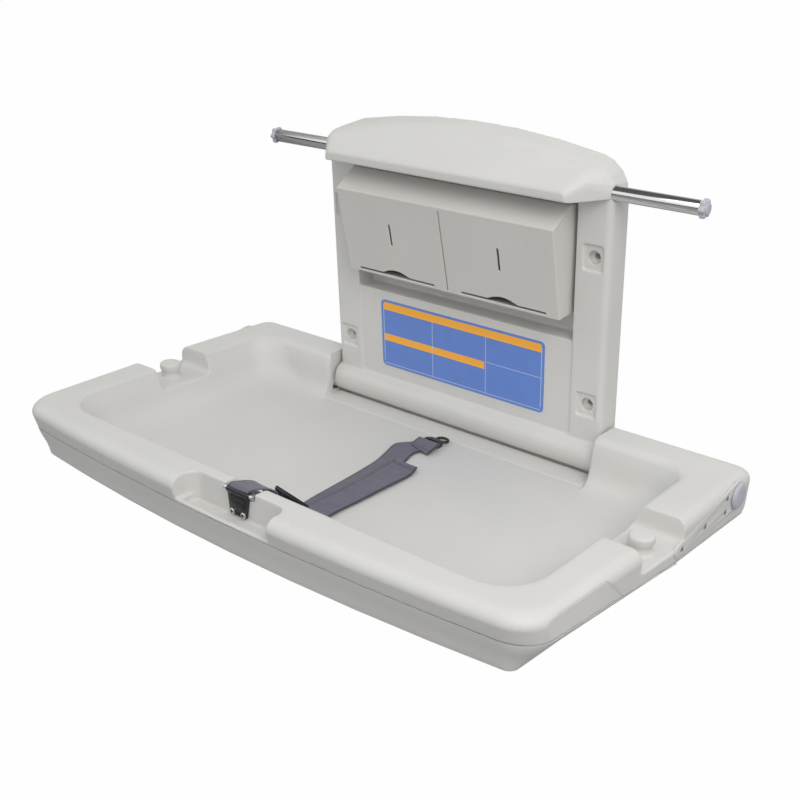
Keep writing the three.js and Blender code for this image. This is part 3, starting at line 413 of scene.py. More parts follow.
def webbing(name, color):
    """Twill webbing with painted shade along both edges: u runs across the band and v along it, both in metres."""
    finish = Finish(name)
    spot = finish.node("ShaderNodeUVMap", {"uv_map": "weave"})
    parts = finish.node("ShaderNodeSeparateXYZ", {}, {0: spot})
    across = Value(finish, parts.socket.node.outputs["X"])
    along = Value(finish, parts.socket.node.outputs["Y"])
    ribs = (across * (2 * math.pi / 0.0017)).math("SINE") * 0.5 + 0.5
    picks = ((along + across * 0.55) * (2 * math.pi / 0.0021)).math("SINE") * 0.5 + 0.5
    # painted shade: the colour darkens over the last few millimetres towards both edges of the band, so its centre
    # reads as lit
    edge = (across - 0.019).math("ABSOLUTE").math("SUBTRACT", 0.0158).math("MAXIMUM", 0.0) * 1200.0
    weave = ribs * 0.45 + picks * 0.55
    worn = finish.noise(45.0, 4.0)
    cloth = finish.mix(weave, tint(color, 0.62), tint(color, 1.25))
    cloth = finish.mix(worn * 0.35, cloth, tint(color, 1.5))
    finish.set(
        Base_Color=finish.mix(edge.math("MINIMUM", 0.85), cloth, tint(color, 0.34)),
        Roughness=0.72 + weave * 0.2,
        Normal=finish.bump(weave, 0.00035, 0.8, finish.bump(finish.noise(38.0, 2.0), 0.004, 0.7)),
    )
    finish.shader.inputs["Sheen Weight"].default_value = 0.25
    return finish.material


def panel_print(name, blue, orange, pale):
    """Bare coloured panels: a blue field, orange bands and pale divider lines."""
    finish = Finish(name)
    spot = finish.node("ShaderNodeUVMap", {"uv_map": "panel"})
    parts = finish.node("ShaderNodeSeparateXYZ", {}, {0: spot})
    across = Value(finish, parts.socket.node.outputs["X"])
    up = Value(finish, parts.socket.node.outputs["Y"])

    def line(value, at, half):
        return (value - at).math("ABSOLUTE") < half

    top = (up > 0.852) * (up < 0.966)
    middle = (up > 0.388) * (up < 0.495) * (across < 0.655)
    inside = (across > 0.017) * (across < 0.983)
    within = inside * (up > 0.045) * (up < 0.966)
    columns = (line(across, 0.333, 0.002) + line(across, 0.662, 0.002)) * (up < 0.852)
    rows = line(up, 0.497, 0.005) * (across > 0.662)
    frame_lines = line(across, 0.0155, 0.0024) + line(across, 0.9845, 0.0024)
    frame_lines = frame_lines * (up > 0.08) * (up < 0.92) + line(up, 0.04, 0.006) * inside
    cloud = finish.noise(40.0, 2.0)
    field = finish.mix(cloud, tint(blue, 0.93), tint(blue, 1.06))
    face = finish.mix((top + middle).math("MINIMUM", 1.0) * inside, field, orange)
    pales = (columns + rows) * within + frame_lines
    face = finish.mix(pales.math("MINIMUM", 1.0) * 0.75, face, pale)
    finish.set(Base_Color=face, Roughness=0.42 + cloud * 0.1)
    return finish.material


# Settings

class StationFinishes(bpy.types.PropertyGroup):
    shell: bpy.props.FloatVectorProperty(
        name="Shell", description="Colour of the bed and the back plate", subtype="COLOR",
        default=(0.655, 0.65, 0.63), min=0.0, max=1.0)
    cover: bpy.props.FloatVectorProperty(
        name="Cover", description="Colour of the liner dispenser's cover", subtype="COLOR",
        default=(0.63, 0.62, 0.595), min=0.0, max=1.0)
    cap: bpy.props.FloatVectorProperty(
        name="Caps", description="Colour of the rail and pivot caps", subtype="COLOR",
        default=(0.50, 0.49, 0.55), min=0.0, max=1.0)
    steel: bpy.props.FloatVectorProperty(
        name="Steel", description="Colour of the bright metal", subtype="COLOR",
        default=(0.66, 0.66, 0.67), min=0.0, max=1.0)
    black: bpy.props.FloatVectorProperty(
        name="Black", description="Colour of the buckle and the clip", subtype="COLOR",
        default=(0.012, 0.012, 0.013), min=0.0, max=1.0)
    webbing: bpy.props.FloatVectorProperty(
        name="Webbing", description="Colour of the strap", subtype="COLOR",
        default=(0.122, 0.116, 0.158), min=0.0, max=1.0)
    roughness: bpy.props.FloatProperty(
        name="Roughness", description="Roughness of the moulded shell", subtype="FACTOR",
        default=0.48, min=0.1, max=1.0)


class StationPanel(bpy.types.PropertyGroup):
    blue: bpy.props.FloatVectorProperty(
        name="Field", description="Colour of the panel's field", subtype="COLOR",
        default=(0.13, 0.25, 0.66), min=0.0, max=1.0)
    orange: bpy.props.FloatVectorProperty(
        name="Bands", description="Colour of the panel's bands", subtype="COLOR",
        default=(0.98, 0.45, 0.05), min=0.0, max=1.0)
    width: bpy.props.FloatProperty(
        name="Width", description="Width of the coloured panel", unit="LENGTH", default=0.281, min=0.05)
    height: bpy.props.FloatProperty(
        name="Height", description="Height of the coloured panel", unit="LENGTH", default=0.104, min=0.02)


class StationStrap(bpy.types.PropertyGroup):
    width: bpy.props.FloatProperty(
        name="Width", description="Width of the webbing", unit="LENGTH", default=0.038, min=0.01)
    thickness: bpy.props.FloatProperty(
        name="Thickness", description="Thickness of the webbing", unit="LENGTH", default=0.0016, min=0.0005)


class StationStage(bpy.types.PropertyGroup):
    floor: bpy.props.FloatVectorProperty(
        name="Floor", description="Colour of the floor and backdrop", subtype="COLOR",
        default=(0.32, 0.32, 0.32), min=0.0, max=1.0)
    key: bpy.props.FloatProperty(
        name="Key", description="Power of the large soft lamp", unit="POWER", default=16.0, min=0.0)
    fill: bpy.props.FloatProperty(
        name="Fill", description="Power of the lamp opposite", unit="POWER", default=2.0, min=0.0)
    sky: bpy.props.FloatProperty(
        name="Sky", description="Level of the light from all around", default=0.76, min=0.0, max=2.0)


SETTINGS = {
    "station_finishes": StationFinishes,
    "station_panel": StationPanel,
    "station_strap": StationStrap,
    "station_stage": StationStage,
}
MADE = {}


def finish_named(name):
    """Each finish is made once, when a piece first asks for it."""
    colors = bpy.context.scene.station_finishes
    if name not in MADE:
        makers = {
            "shell": lambda: moulded("moulded_shell", colors.shell, colors.roughness, 1.0),
            "cover": lambda: moulded("moulded_cover", colors.cover, 0.55, 1.6),
            "cap": lambda: moulded("moulded_cap", colors.cap, 0.42, 0.5),
            "nylon": lambda: moulded("natural_nylon", (0.75, 0.74, 0.69), 0.5, 0.4),
            "rail": lambda: polished("polished_tube", colors.steel, 0.08),
            "steel": lambda: polished("bright_screws", colors.steel, 0.16),
            "black": lambda: black_moulding("black_plastic", colors.black),
            "webbing": lambda: webbing("strap_webbing", colors.webbing),
            "thread": lambda: moulded("strap_thread", tint(colors.webbing, 0.55)[:3], 0.8, 0.3),
        }
        MADE[name] = makers[name]()
    return MADE[name]


# Bed

def bed_outline(side, front, rear, corner=45):
    half = BED_HALF - side
    nose = half - BED_TAPER
    end = BED_FRONT + BED_BOW + front
    bow = [(nose * s, BED_FRONT + BED_BOW * s * s + front, 0) for s in (-0.75, -0.5, -0.25, 0, 0.25, 0.5, 0.75)]
    return rounded_ring([
        (-nose, end, corner), *bow, (nose, end, corner), (half, TAPER_FROM, 0),
        (half, REAR_RADIUS - rear, 15), (-half, REAR_RADIUS - rear, 15), (-half, TAPER_FROM, 0)])


def skirt_at(y):
    """Height of the tray's lower edge, which runs deeper towards the rear."""
    return SKIRT_REAR + SKIRT_SLOPE * y


def rear_form(radius, bottom):
    arc = [(radius * math.cos(t), radius * math.sin(t)) for t in
           [math.pi * (i / 32 - 0.5) for i in range(33)]]
    outline = [(-900, -120), (-80, -120), (-80, bottom), *arc, (0, 120), (-900, 120)]
    return prism("rear_form", outline, "X", -900, 900)


def tray_outer():
    rings = [[(p.x, p.y, skirt_at(p.y)) for p in bed_outline(1.5, 6, 0)]]
    for s in range(11):
        turn = math.pi / 2 * s / 10
        shrink = RIM_ROUND * (1 - math.cos(turn))
        height = RIM - RIM_ROUND + RIM_ROUND * math.sin(turn)
        rings.append(level(bed_outline(shrink, shrink, shrink), height))
    return combine(loft("bed_shell", rings), "INTERSECT", rear_form(REAR_RADIUS, -57))


def basin_ring(lean, rear_lean, grow):
    half = BASIN_HALF - lean + grow
    rear = BASIN_REAR - rear_lean + grow
    channel = CHANNEL_HALF + grow
    front = BASIN_FRONT + lean - grow
    far = min(40.0 + 0.6 * (lean + 7), half - channel - 10.0)
    return rounded_ring([
        (-half, front, 58), (half, front, 58), (half, rear, far), (channel, rear, 5), (channel, 60, 0),
        (-channel, 60, 0), (-channel, rear, 5), (-half, rear, far)])


def basin(grow):
    rings = [level(basin_ring(*BASIN_LEVELS[0][1:], grow), RIM + 60)]
    for z, lean, rear_lean in BASIN_LEVELS:
        sink = grow * (RIM - z) / (RIM - FLOOR)
        rings.append(level(basin_ring(lean, rear_lean, grow), z - sink))
    return loft("basin", rings)


def mirrored(make):
    """The tool that make(side) gives for the right and for the left."""
    return [make(1), make(-1)]


def handle_recess():
    half, inner = RECESS_HALF, RECESS_HALF - WALL
    upper = rounded_ring([(-half, -560, 16), (half, -560, 16), (half, RECESS_BACK, 16), (-half, RECESS_BACK, 16)])
    lower = rounded_ring([(-inner, LIP_BACK, 9), (inner, LIP_BACK, 9), (inner, RECESS_BACK, 9), (-inner, RECESS_BACK, 9)])
    return [prism("recess", upper, "Z", RECESS_FLOOR, 90), prism("scoop", lower, "Z", RECESS_FLOOR - 9, 30)]


def recess_cup(grow):
    """The walls of the handle's scoop, which hang into the pan."""
    half = RECESS_HALF - 1.6 + grow
    lows = (-half, LIP_BACK - 2.4 - grow, RECESS_FLOOR - 11.4 - grow)
    return block("cup", lows, (half, RECESS_BACK + WALL + grow, RECESS_FLOOR))


def bag_gap(side):
    half, top = GAP_LENGTH / 2, 70
    outline = rounded_ring([(POST[1] - half, GAP_FLOOR, 9), (POST[1] + half, GAP_FLOOR, 9),
                            (POST[1] + half, top, 0), (POST[1] - half, top, 0)])
    low, high = sorted((side * 306, side * 900))
    return prism("bag_gap", outline, "X", low, high)


def bag_post(side):
    profile = ((GAP_FLOOR - 3, 15), (GAP_FLOOR + 4, 13.4), (POST_TOP - 13, 13.2), (POST_TOP - 10.5, 15.2),
               (POST_TOP - 3, 15.8), (POST_TOP - 1, 14.8), (POST_TOP, 12.0))
    return turned("bag_post", profile, "Z", (side * POST[0], POST[1], 0))


def fold_sector(inner, outer):
    """Outline about the hinge axis that the back plate's lug turns in."""
    turns = [math.radians(-92.8 + 4.0 * i) for i in range(31)]
    back = [(inner * math.cos(t), inner * math.sin(t)) for t in reversed(turns)] if inner else [(0, 0)]
    return [(outer * math.cos(t), outer * math.sin(t)) for t in turns] + back


def lug_room(side):
    low, high = sorted((side * 228, side * 234.4))
    slot = prism("lug_slot", fold_sector(20.6, 40.6), "X", low, high)
    low, high = sorted((side * 234, side * 246))
    for outline in (fold_sector(0, 40.6), disc(11.5)):
        combine(slot, "UNION", prism("lug_pocket", outline, "X", low, high))
    return slot


def tapered_bar(big, small, count=24):
    """Two round ends (y, z, r) joined by their outer tangents."""
    along = math.atan2(small[1] - big[1], small[0] - big[0])
    spread = math.acos((big[2] - small[2]) / math.hypot(small[0] - big[0], small[1] - big[1]))
    ends = ((small, along - spread, along + spread), (big, along + spread, along - spread + 2 * math.pi))
    points = []
    for (y, z, r), start, stop in ends:
        for i in range(count + 1):
            t = start + (stop - start) * i / count
            points.append((y + r * math.cos(t), z + r * math.sin(t)))
    return points


def cover_seat(side):
    low, high = sorted((side * 420.7, side * 700))
    return prism("cover_seat", tapered_bar((0, 0, 19.3), (-152, -13, 8.3)), "X", low, high)


def pin_room(side):
    low, high = sorted((side * 240, side * 419))
    return prism("pin_room", disc(5.5), "X", low, high)


def ear_gap(side):
    """The crisp gap between an ear of the tray and the end of the back plate's roll."""
    low, high = sorted((side * (CHANNEL_HALF - 6), side * (CHANNEL_HALF + 2.6)))
    return block("ear_gap", (low, -9, FLOOR + 3), (high, 70, 60))


def roll_seam():
    """The trench under the roll, which leaves a dark seam along it."""
    return block("roll_seam", (-CHANNEL_HALF, 7.5, FLOOR - 1.5), (CHANNEL_HALF, 16, FLOOR + 20))


def side_step(side):
    """The shallow set-back on the tray's flank, below a line that drops behind the front corner."""
    line = [(-420, 15), (-302, 15), (-266, -18), (-149, -30), (-149, -80), (-420, -80)]
    low, high = sorted((side * 380, side * 460))
    step = prism("side_step", line, "X", low, high)
    taper = BED_TAPER / (TAPER_FROM - BED_FRONT - BED_BOW)
    near, far = (BED_HALF - 1.8 - taper * (TAPER_FROM - y) for y in (-149, -420))
    plan = [(side * near, -149), (side * 500, -149), (side * 500, -420), (side * far, -420)]
    return combine(step, "INTERSECT", prism("flank", plan, "Z", -90, 90))


def bead(name, points, radius):
    """A fine raised line through points, in bed millimetres."""
    rings = []
    for i, point in enumerate(points):
        on = Vector(points[min(i + 1, len(points) - 1)]) - Vector(points[max(i - 1, 0)])
        wide = on.cross(Vector((1, 0, 0))).normalized() * radius
        turns = [2 * math.pi * j / 8 for j in range(8)]
        rings.append([Vector(point) + wide * math.cos(t) + Vector((radius * math.sin(t), 0, 0)) for t in turns])
    return smooth_edges(loft(name, rings, BED), 50)


def flank_line(side):
    """The line along the set-back on the tray's flank."""
    points = []
    for y, z in ((-386, 15), (-304, 15), (-300, 13), (-269, -16), (-265, -18), (-149, -30)):
        taper = BED_TAPER / (TAPER_FROM - BED_FRONT - BED_BOW)
        rise = max(0.0, z - RIM + RIM_ROUND) / RIM_ROUND
        inset = RIM_ROUND * (1 - math.sqrt(1 - rise * rise)) if rise else 1.5 * (7 - z) / 35
        points.append((side * (BED_HALF - 0.5 - inset - taper * max(0, TAPER_FROM - y)), y, z))
    return points


def pan_form(inset, rise):
    rings = []
    for share, side, front in PAN_ROWS:
        corner = 45 + (12 - 45) * share
        outline = bed_outline(1.5 + 27 * side + inset, 6 + 10 * front + inset, inset, corner)
        tops = [skirt_at(p.y) - 0.3 + rise for p in outline]
        rings.append([(p.x, p.y, top + (PAN + inset - top) * share) for p, top in zip(outline, tops)])
    return combine(loft("bed_underpan", rings), "INTERSECT", rear_form(REAR_RADIUS - inset, PAN + inset))


class STATION_OT_bed_shell(bpy.types.Operator):
    """Make the bed's moulded tray with its basin, handle recess, bag posts and hinge ends"""
    bl_idname = "station.bed_shell"
    bl_label = "Bed Shell"

    def execute(self, context):
        shell = tray_outer()
        bulge = combine(basin(WALL), "INTERSECT", block("limit", (-424, -454, -51), (424, FLOOR_REAR, 0)))
        combine(shell, "UNION", bulge, recess_cup(0))
        combine(shell, "DIFFERENCE", basin(0))
        strip = ((-24, FLOOR - 2), (FLOOR_REAR, FLOOR - 2), (FLOOR_REAR, FLOOR + 5), (-24, FLOOR + 1.2))
        combine(shell, "UNION", prism("strip", strip, "X", -CHANNEL_HALF, CHANNEL_HALF))
        channel = block("channel", (-CHANNEL_HALF, FLOOR_REAR, -120), (CHANNEL_HALF, 120, 120))
        notch = block("notch", (-NOTCH_HALF, -454, NOTCH_FLOOR), (NOTCH_HALF, -374, 60))
        combine(shell, "DIFFERENCE", channel, *handle_recess(), notch)
        for make in (bag_gap, lug_room, pin_room, side_step):
            combine(shell, "DIFFERENCE", *mirrored(make))
        combine(shell, "UNION", *mirrored(bag_post))
        soften(shell, 1.7, 4, 0.2)
        combine(shell, "DIFFERENCE", *mirrored(cover_seat), *mirrored(ear_gap), roll_seam())
        smooth_edges(shell, 40)
        shell.data.transform(BED)
        finish_piece(shell, "bed", "shell", finish_named("shell"), "bed_tray")
        for side, name in ((1, "right"), (-1, "left")):
            line = bead(f"flank_line_{name}", flank_line(side), 0.7)
            finish_piece(line, "bed", "shell", finish_named("shell"))
        return {"FINISHED"}


class STATION_OT_bed_pan(bpy.types.Operator):
    """Make the shallow pan that closes the bed from below"""
    bl_idname = "station.bed_pan"
    bl_label = "Bed Pan"

    def execute(self, context):
        pan = pan_form(0, 0)
        hollow = pan_form(WALL, 1)
        wide = CHANNEL_HALF + WALL
        combine(hollow, "DIFFERENCE", block("wall", (-wide, PAN_REAR - WALL, -200), (wide, 90, 90)))
        combine(pan, "DIFFERENCE", hollow, recess_cup(0.5))
        combine(pan, "DIFFERENCE", block("channel", (-CHANNEL_HALF, PAN_REAR, -200), (CHANNEL_HALF, 90, 90)))
        room = combine(basin(WALL + 0.3), "INTERSECT", block("limit", (-424, -454, -51), (424, FLOOR_REAR, 0)))
        combine(pan, "DIFFERENCE", room, *mirrored(lug_room))
        for x, y, z in PAN_SCREWS:
            for side in (-1, 1):
                seat = turned("seat", ((-90, 4.6), (z - 4, 4.6)), "Z", (side * x, y, 0), 24)
                combine(pan, "DIFFERENCE", seat)
        pan.data.transform(BED)
        bevelled(pan, 0.6, 2, 50)
        even = pan.modifiers.new("even", "WEIGHTED_NORMAL")
        even.keep_sharp = True
        settle(pan)
        finish_piece(pan, "bed", "shell", finish_named("shell"), "bed_pan")
        return {"FINISHED"}


class STATION_OT_hinges(bpy.types.Operator):
    """Make the hinge's side covers, pivot caps, bushes, dampers and pins"""
    bl_idname = "station.hinges"
    bl_label = "Hinges"

    def execute(self, context):
        for side in ("left", "right"):
            cover = bevelled(copied(f"side_cover_{side}", f"hinge_cover_{side}"), 0.5, 2, 60)
            finish_piece(cover, "bed", "shell", finish_named("shell"), f"side_cover_{side}")
            sign = 1 if side == "right" else -1
            profile = [(419, 7.9), (424.3, 7.9), (424.3, 16.4), (424.8, 17), (426.4, 16.9), (427.8, 16.2),
                       (428.8, 14.8), (429.3, 12.8), (429.3, 3)]
            cap = turned(f"pivot_button_{side}", [(sign * x, r) for x, r in profile], "X", (0, 0, 0), 64, BED)
            finish_piece(smooth_edges(cap, 50), "bed", "cap", finish_named("cap"), f"pivot_cap_{side}")
            self.inner_pieces(side)
        return {"FINISHED"}

    def inner_pieces(self, side):
        for node, slot in (("hinge_bush_inner", "nylon"), ("hinge_bush_outer", "nylon"), ("damper", "black")):
            piece = bevelled(copied(f"{node}_{side}", f"{node}_ring_{side}"), 0.4, 2)
            finish_piece(piece, "bed", slot, finish_named(slot), f"{node}_{side}")
        pin = bevelled(copied(f"hinge_pin_{side}", f"hinge_rod_{side}"), 0.5, 2)
        finish_piece(pin, "wall_unit", "steel", finish_named("steel"), f"hinge_pin_{side}")


# Screws

def screw_head():
    """A pan head of radius 1 mm with a cross recess, on +Z."""
    head = turned("screw_head", ((-0.6, 0.96), (0.1, 1.0), (0.22, 0.96), (0.36, 0.78), (0.44, 0.5), (0.46, 0.2)),
                  "Z", (0, 0, 0), 24)
    for long, wide in ((0.62, 0.15), (0.15, 0.62)):
        combine(head, "DIFFERENCE", block("cross", (-long, -wide, -0.35), (long, wide, 1)))
    return smooth_edges(head, 30)


def screw_points():
    """Seats of the bed's screws: place, outward direction and head radius, in bed millimetres."""
    seats = []
    for y, z in COVER_SCREWS:
        seats += [((side * 423.1, y, z), (side, 0, 0), 3.6) for side in (-1, 1)]
    for x, y, z in PAN_SCREWS:
        seats += [((side * x, y, z - 6.6), (0, 0, -1), 4.0) for side in (-1, 1)]
    seats += [((x, -420.3, -10), (0, -1, 0), 4.0) for x in (-9, 9)]
    return seats


def scatter_tree(name, item, material):
    """Geometry Nodes: one item at each point, turned to the point's direction and sized by its radius."""
    tree = bpy.data.node_groups.new(name, "GeometryNodeTree")
    tree.interface.new_socket("Geometry", in_out="INPUT", socket_type="NodeSocketGeometry")
    tree.interface.new_socket("Size", in_out="INPUT", socket_type="NodeSocketFloat").default_value = 1.0
    tree.interface.new_socket("Geometry", in_out="OUTPUT", socket_type="NodeSocketGeometry")
    make = tree.nodes.new
    start, end = make("NodeGroupInput"), make("NodeGroupOutput")
    source = make("GeometryNodeObjectInfo")
    source.inputs["Object"].default_value = item
    facing = make("GeometryNodeInputNamedAttribute")
    facing.data_type = "FLOAT_VECTOR"
    facing.inputs["Name"].default_value = "facing"
    reach = make("GeometryNodeInputNamedAttribute")
    reach.inputs["Name"].default_value = "reach"
    size = make("ShaderNodeMath")
    size.operation = "MULTIPLY"
    align = make("FunctionNodeAlignRotationToVector")
    align.axis = "Z"
    spread = make("GeometryNodeInstanceOnPoints")
    real = make("GeometryNodeRealizeInstances")
    paint = make("GeometryNodeSetMaterial")
    paint.inputs["Material"].default_value = material
    links = (
        (start.outputs["Geometry"], spread.inputs["Points"]), (source.outputs["Geometry"], spread.inputs["Instance"]),
        (facing.outputs["Attribute"], align.inputs["Vector"]), (align.outputs[0], spread.inputs["Rotation"]),
        (reach.outputs["Attribute"], size.inputs[0]), (start.outputs["Size"], size.inputs[1]),
        (size.outputs[0], spread.inputs["Scale"]), (spread.outputs[0], real.inputs[0]),
        (real.outputs[0], paint.inputs["Geometry"]), (paint.outputs[0], end.inputs[0]))
    for a, b in links:
        tree.links.new(a, b)
    return tree


class STATION_OT_screws(bpy.types.Operator):
    """Set the bed's cross-head screws in their seats"""
    bl_idname = "station.screws"
    bl_label = "Screws"

    def execute(self, context):
        screws = scattered("bed_screws", screw_points(), screw_head(), finish_named("steel"))
        nodes = [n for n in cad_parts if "screw" in n]
        finish_piece(screws, "bed", "steel", finish_named("steel"), *nodes)
        return {"FINISHED"}


# Wall unit

class STATION_OT_wall_plate(bpy.types.Operator):
    """Make the moulded back plate with its hood, dispenser bay and hinge lugs"""
    bl_idname = "station.wall_plate"
    bl_label = "Wall Plate"

    def execute(self, context):
        plate = soften(copied("wall_plate", "back_plate"), 1.2, 1, 0.13)
        finish_piece(plate, "wall_unit", "shell", finish_named("shell"), "wall_plate")
        return {"FINISHED"}


class STATION_OT_dispenser(bpy.types.Operator):
    """Make the liner dispenser's cover and its pivots"""
    bl_idname = "station.dispenser"
    bl_label = "Dispenser"

    def execute(self, context):
        cover = soften(copied("dispenser_cover", "liner_cover"), 0.8, 3, 0.25)
        face = ((-65, 169), (-61.6, 169), (-82.6, 283), (-86, 283))
        combine(cover, "DIFFERENCE", prism("groove", face, "X", -1.1, 1.1))
        smooth_edges(cover, 40)
        finish_piece(cover, "wall_unit", "cover", finish_named("cover"), "dispenser_cover")
        for side in ("left", "right"):
            pin = bevelled(copied(f"dispenser_pivot_{side}", f"cover_pivot_{side}"), 0.4, 2)
            finish_piece(pin, "wall_unit", "steel", finish_named("steel"), f"dispenser_pivot_{side}")
        return {"FINISHED"}


class STATION_OT_panel(bpy.types.Operator):
    """Lay the bare coloured panel on the back plate"""
    bl_idname = "station.panel"
    bl_label = "Coloured Panel"

    def execute(self, context):
        sizes = context.scene.station_panel
        half, tall = sizes.width / MM / 2, sizes.height / MM / 2
        middle = (-1.5, 65.0)
        corners = [(-half, -tall, 7), (half, -tall, 7), (half, tall, 7), (-half, tall, 7)]
        outline = [(p.x + middle[0], p.y + middle[1]) for p in rounded_ring(corners)]
        panel = prism("coloured_panel", outline, "Y", -38.1, -37.4)
        layer = panel.data.uv_layers.new(name="panel")
        for loop in panel.data.loops:
            co = panel.data.vertices[loop.vertex_index].co / MM
            layer.data[loop.index].uv = ((co.x - middle[0] + half) / (2 * half), (co.z - middle[1] + tall) / (2 * tall))
        material = panel_print("panel_print", tint(sizes.blue, 1), tint(sizes.orange, 1), (0.55, 0.62, 0.75, 1))
        finish_piece(panel, "wall_unit", "cover", material)
        return {"FINISHED"}


class STATION_OT_rail(bpy.types.Operator):
    """Make the bag rail and its lobed end caps"""
    bl_idname = "station.rail"
    bl_label = "Bag Rail"

    def execute(self, context):
        at = (0, -30, 329)
        tube = turned("bag_rail", ((-336, 7.6), (-336, 8.7), (-335.7, 9), (335.7, 9), (336, 8.7), (336, 7.6)), "X", at, 96)
        finish_piece(smooth_edges(tube, 50), "wall_unit", "rail", finish_named("rail"), "hanger_rod")
        for side, name in ((1, "right"), (-1, "left")):
            cap = self.lobed_cap(f"rail_cap_{name}", side, at)
            finish_piece(cap, "wall_unit", "cap", finish_named("cap"), f"rod_cap_{name}")
        return {"FINISHED"}

    def lobed_cap(self, name, side, at):
        rings = []
        rows = ((-13, 7.2, 0), (0.3, 7.2, 0), (0.3, 10.0, 1.2), (0.9, 10.6, 1.4), (5.2, 10.6, 1.4), (6.6, 10.0, 1.3),
                (7.2, 9.0, 1.0), (7.2, 7.6, 0.1), (8.3, 7.2, 0), (8.7, 6.4, 0))
        for x, radius, wave in rows:
            turns = [2 * math.pi * i / 72 for i in range(72)]
            spokes = [(t, radius + wave * math.cos(6 * t)) for t in turns]
            rings.append([(side * (336 + x), at[1] + r * math.cos(t), at[2] + r * math.sin(t)) for t, r in spokes])
        return smooth_edges(loft(name, rings), 40)


# Strap

# edges of each band of webbing: left and right, as places across, along and up
OVER_RIM = (
    ((-16, -419.5, 20.6), (16, -419.5, 20.6)), ((-16, -415, 22.4), (16.5, -415, 22.4)),
    ((-14, -406, 21.4), (19, -408, 22)), ((-9, -397, 20.6), (23, -401, 21.8)), ((-3, -389, 18), (28, -394, 20.2)),
    ((3, -385, 11.5), (33, -389, 16.4)), ((7, -383.8, 2.5), (37, -386, 8)),
)
MAIN = (
    ((16, -384.2, -4), (52, -384.2, -4)), ((13, -379, -19), (50, -379, -19)), ((8, -368, -32.6), (46, -368, -32.6)),
    ((2, -352, -40.8), (40, -352, -40.8)), ((-3, -331, -44.6), (35, -331, -44.6)),
    ((-10, -288, -44.8), (28, -288, -44.8)), ((-15, -212, -44.8), (23, -212, -44.8)),
    ((-20, -157, -44.8), (18, -157, -44.8)), ((-26, -128, -44.4), (11, -126, -44.6)),
    ((-32, -100, -41.5), (5, -103, -44)), ((-30, -90, -40.4), (5, -90, -43.6)),
    ((-19, -74, -40.6), (12, -74, -42.8)), ((-15, -60, -40.6), (19, -60, -41)),
)
TAIL = (
    ((2, -330, -42.4), (45, -328, -42.8)), ((6, -298, -40.6), (42, -296, -42.6)),
    ((9, -252, -38.8), (43, -254, -43)), ((8, -213, -39.4), (44, -213, -42.2)),
    ((5, -168, -38.8), (44.5, -165, -43)), ((4, -150, -38.4), (43.5, -149, -42.4)),
    ((3, -136, -38), (38, -132, -41.2)),
)
LOOP = (
    ((-12, -82, -39.6), (22, -89, -41.6)), ((-15, -72, -38.2), (21.5, -76, -39.8)), ((-16.5, -59, -36.8), (20.5, -59.5, -37.2)),
)


def band(name, rows, width, thickness):
    """A strip of webbing between two edges, with its weave's map in metres."""
    bm = bmesh.new()
    layer = bm.loops.layers.uv.new("weave")
    across = 10
    lefts, rights = (spline([row[i] for row in rows]) for i in (0, 1))
    lines, travelled = [], [0.0]
    for i, (left, right) in enumerate(zip(lefts, rights)):
        sag = [Vector((0, 0, -0.5 * math.sin(math.pi * j / across))) for j in range(across + 1)]
        lines.append([bm.verts.new((left.lerp(right, j / across) + sag[j]) * MM) for j in range(across + 1)])
        if i:
            travelled.append(travelled[-1] + (left + right - lefts[i - 1] - rights[i - 1]).length / 2 * MM)
    for i in range(len(lines) - 1):
        for j in range(across):
            face = bm.faces.new((lines[i][j], lines[i][j + 1], lines[i + 1][j + 1], lines[i + 1][j]))
            spots = ((j, i), (j + 1, i), (j + 1, i + 1), (j, i + 1))
            for loop, (a, b) in zip(face.loops, spots):
                loop[layer].uv = (width * a / across, travelled[b])
    mesh = bpy.data.meshes.new(name)
    bm.to_mesh(mesh)
    bm.free()
    mesh.transform(BED)
    mesh.shade_smooth()
    obj = bpy.data.objects.new(name, mesh)
    bpy.context.scene.collection.objects.link(obj)
    wall = obj.modifiers.new("cloth", "SOLIDIFY")
    wall.thickness = thickness
    wall.offset = 0.0
    return obj, travelled[-1]


def spline(points, steps=10):
    """A smooth line through points."""
    fine = []
    vectors = [Vector(p) for p in points]
    for i in range(len(vectors) - 1):
        a = vectors[max(0, i - 1)]
        b, c = vectors[i], vectors[i + 1]
        d = vectors[min(len(vectors) - 1, i + 2)]
        for s in range(steps):
            t = s / steps
            bend = 2 * a - 5 * b + 4 * c - d
            fine.append(0.5 * (2 * b + (c - a) * t + bend * t * t + (3 * b - a - 3 * c + d) * t ** 3))
    return fine + [vectors[-1]]


def stitch_points():
    """Rows of stitches across the hems: place and heading, in bed millimetres."""
    rows = (((5, -146, -37.5), (41, -143.6, -40.9)), ((4.6, -143, -37.3), (40, -140.8, -40.7)),
            ((-10.5, -80, -38.6), (20, -85, -40.2)), ((-10.5, -77.2, -38.3), (20, -82, -39.8)))
    points = []
    for start, end in rows:
        a, b = Vector(start), Vector(end)
        count = round((b - a).length / 2.6)
        points += [(a.lerp(b, (i + 0.5) / count) - Vector((0, 0, 0.45 * math.sin(math.pi * (i + 0.5) / count))),
                    (b - a).normalized()) for i in range(count)]
    return points


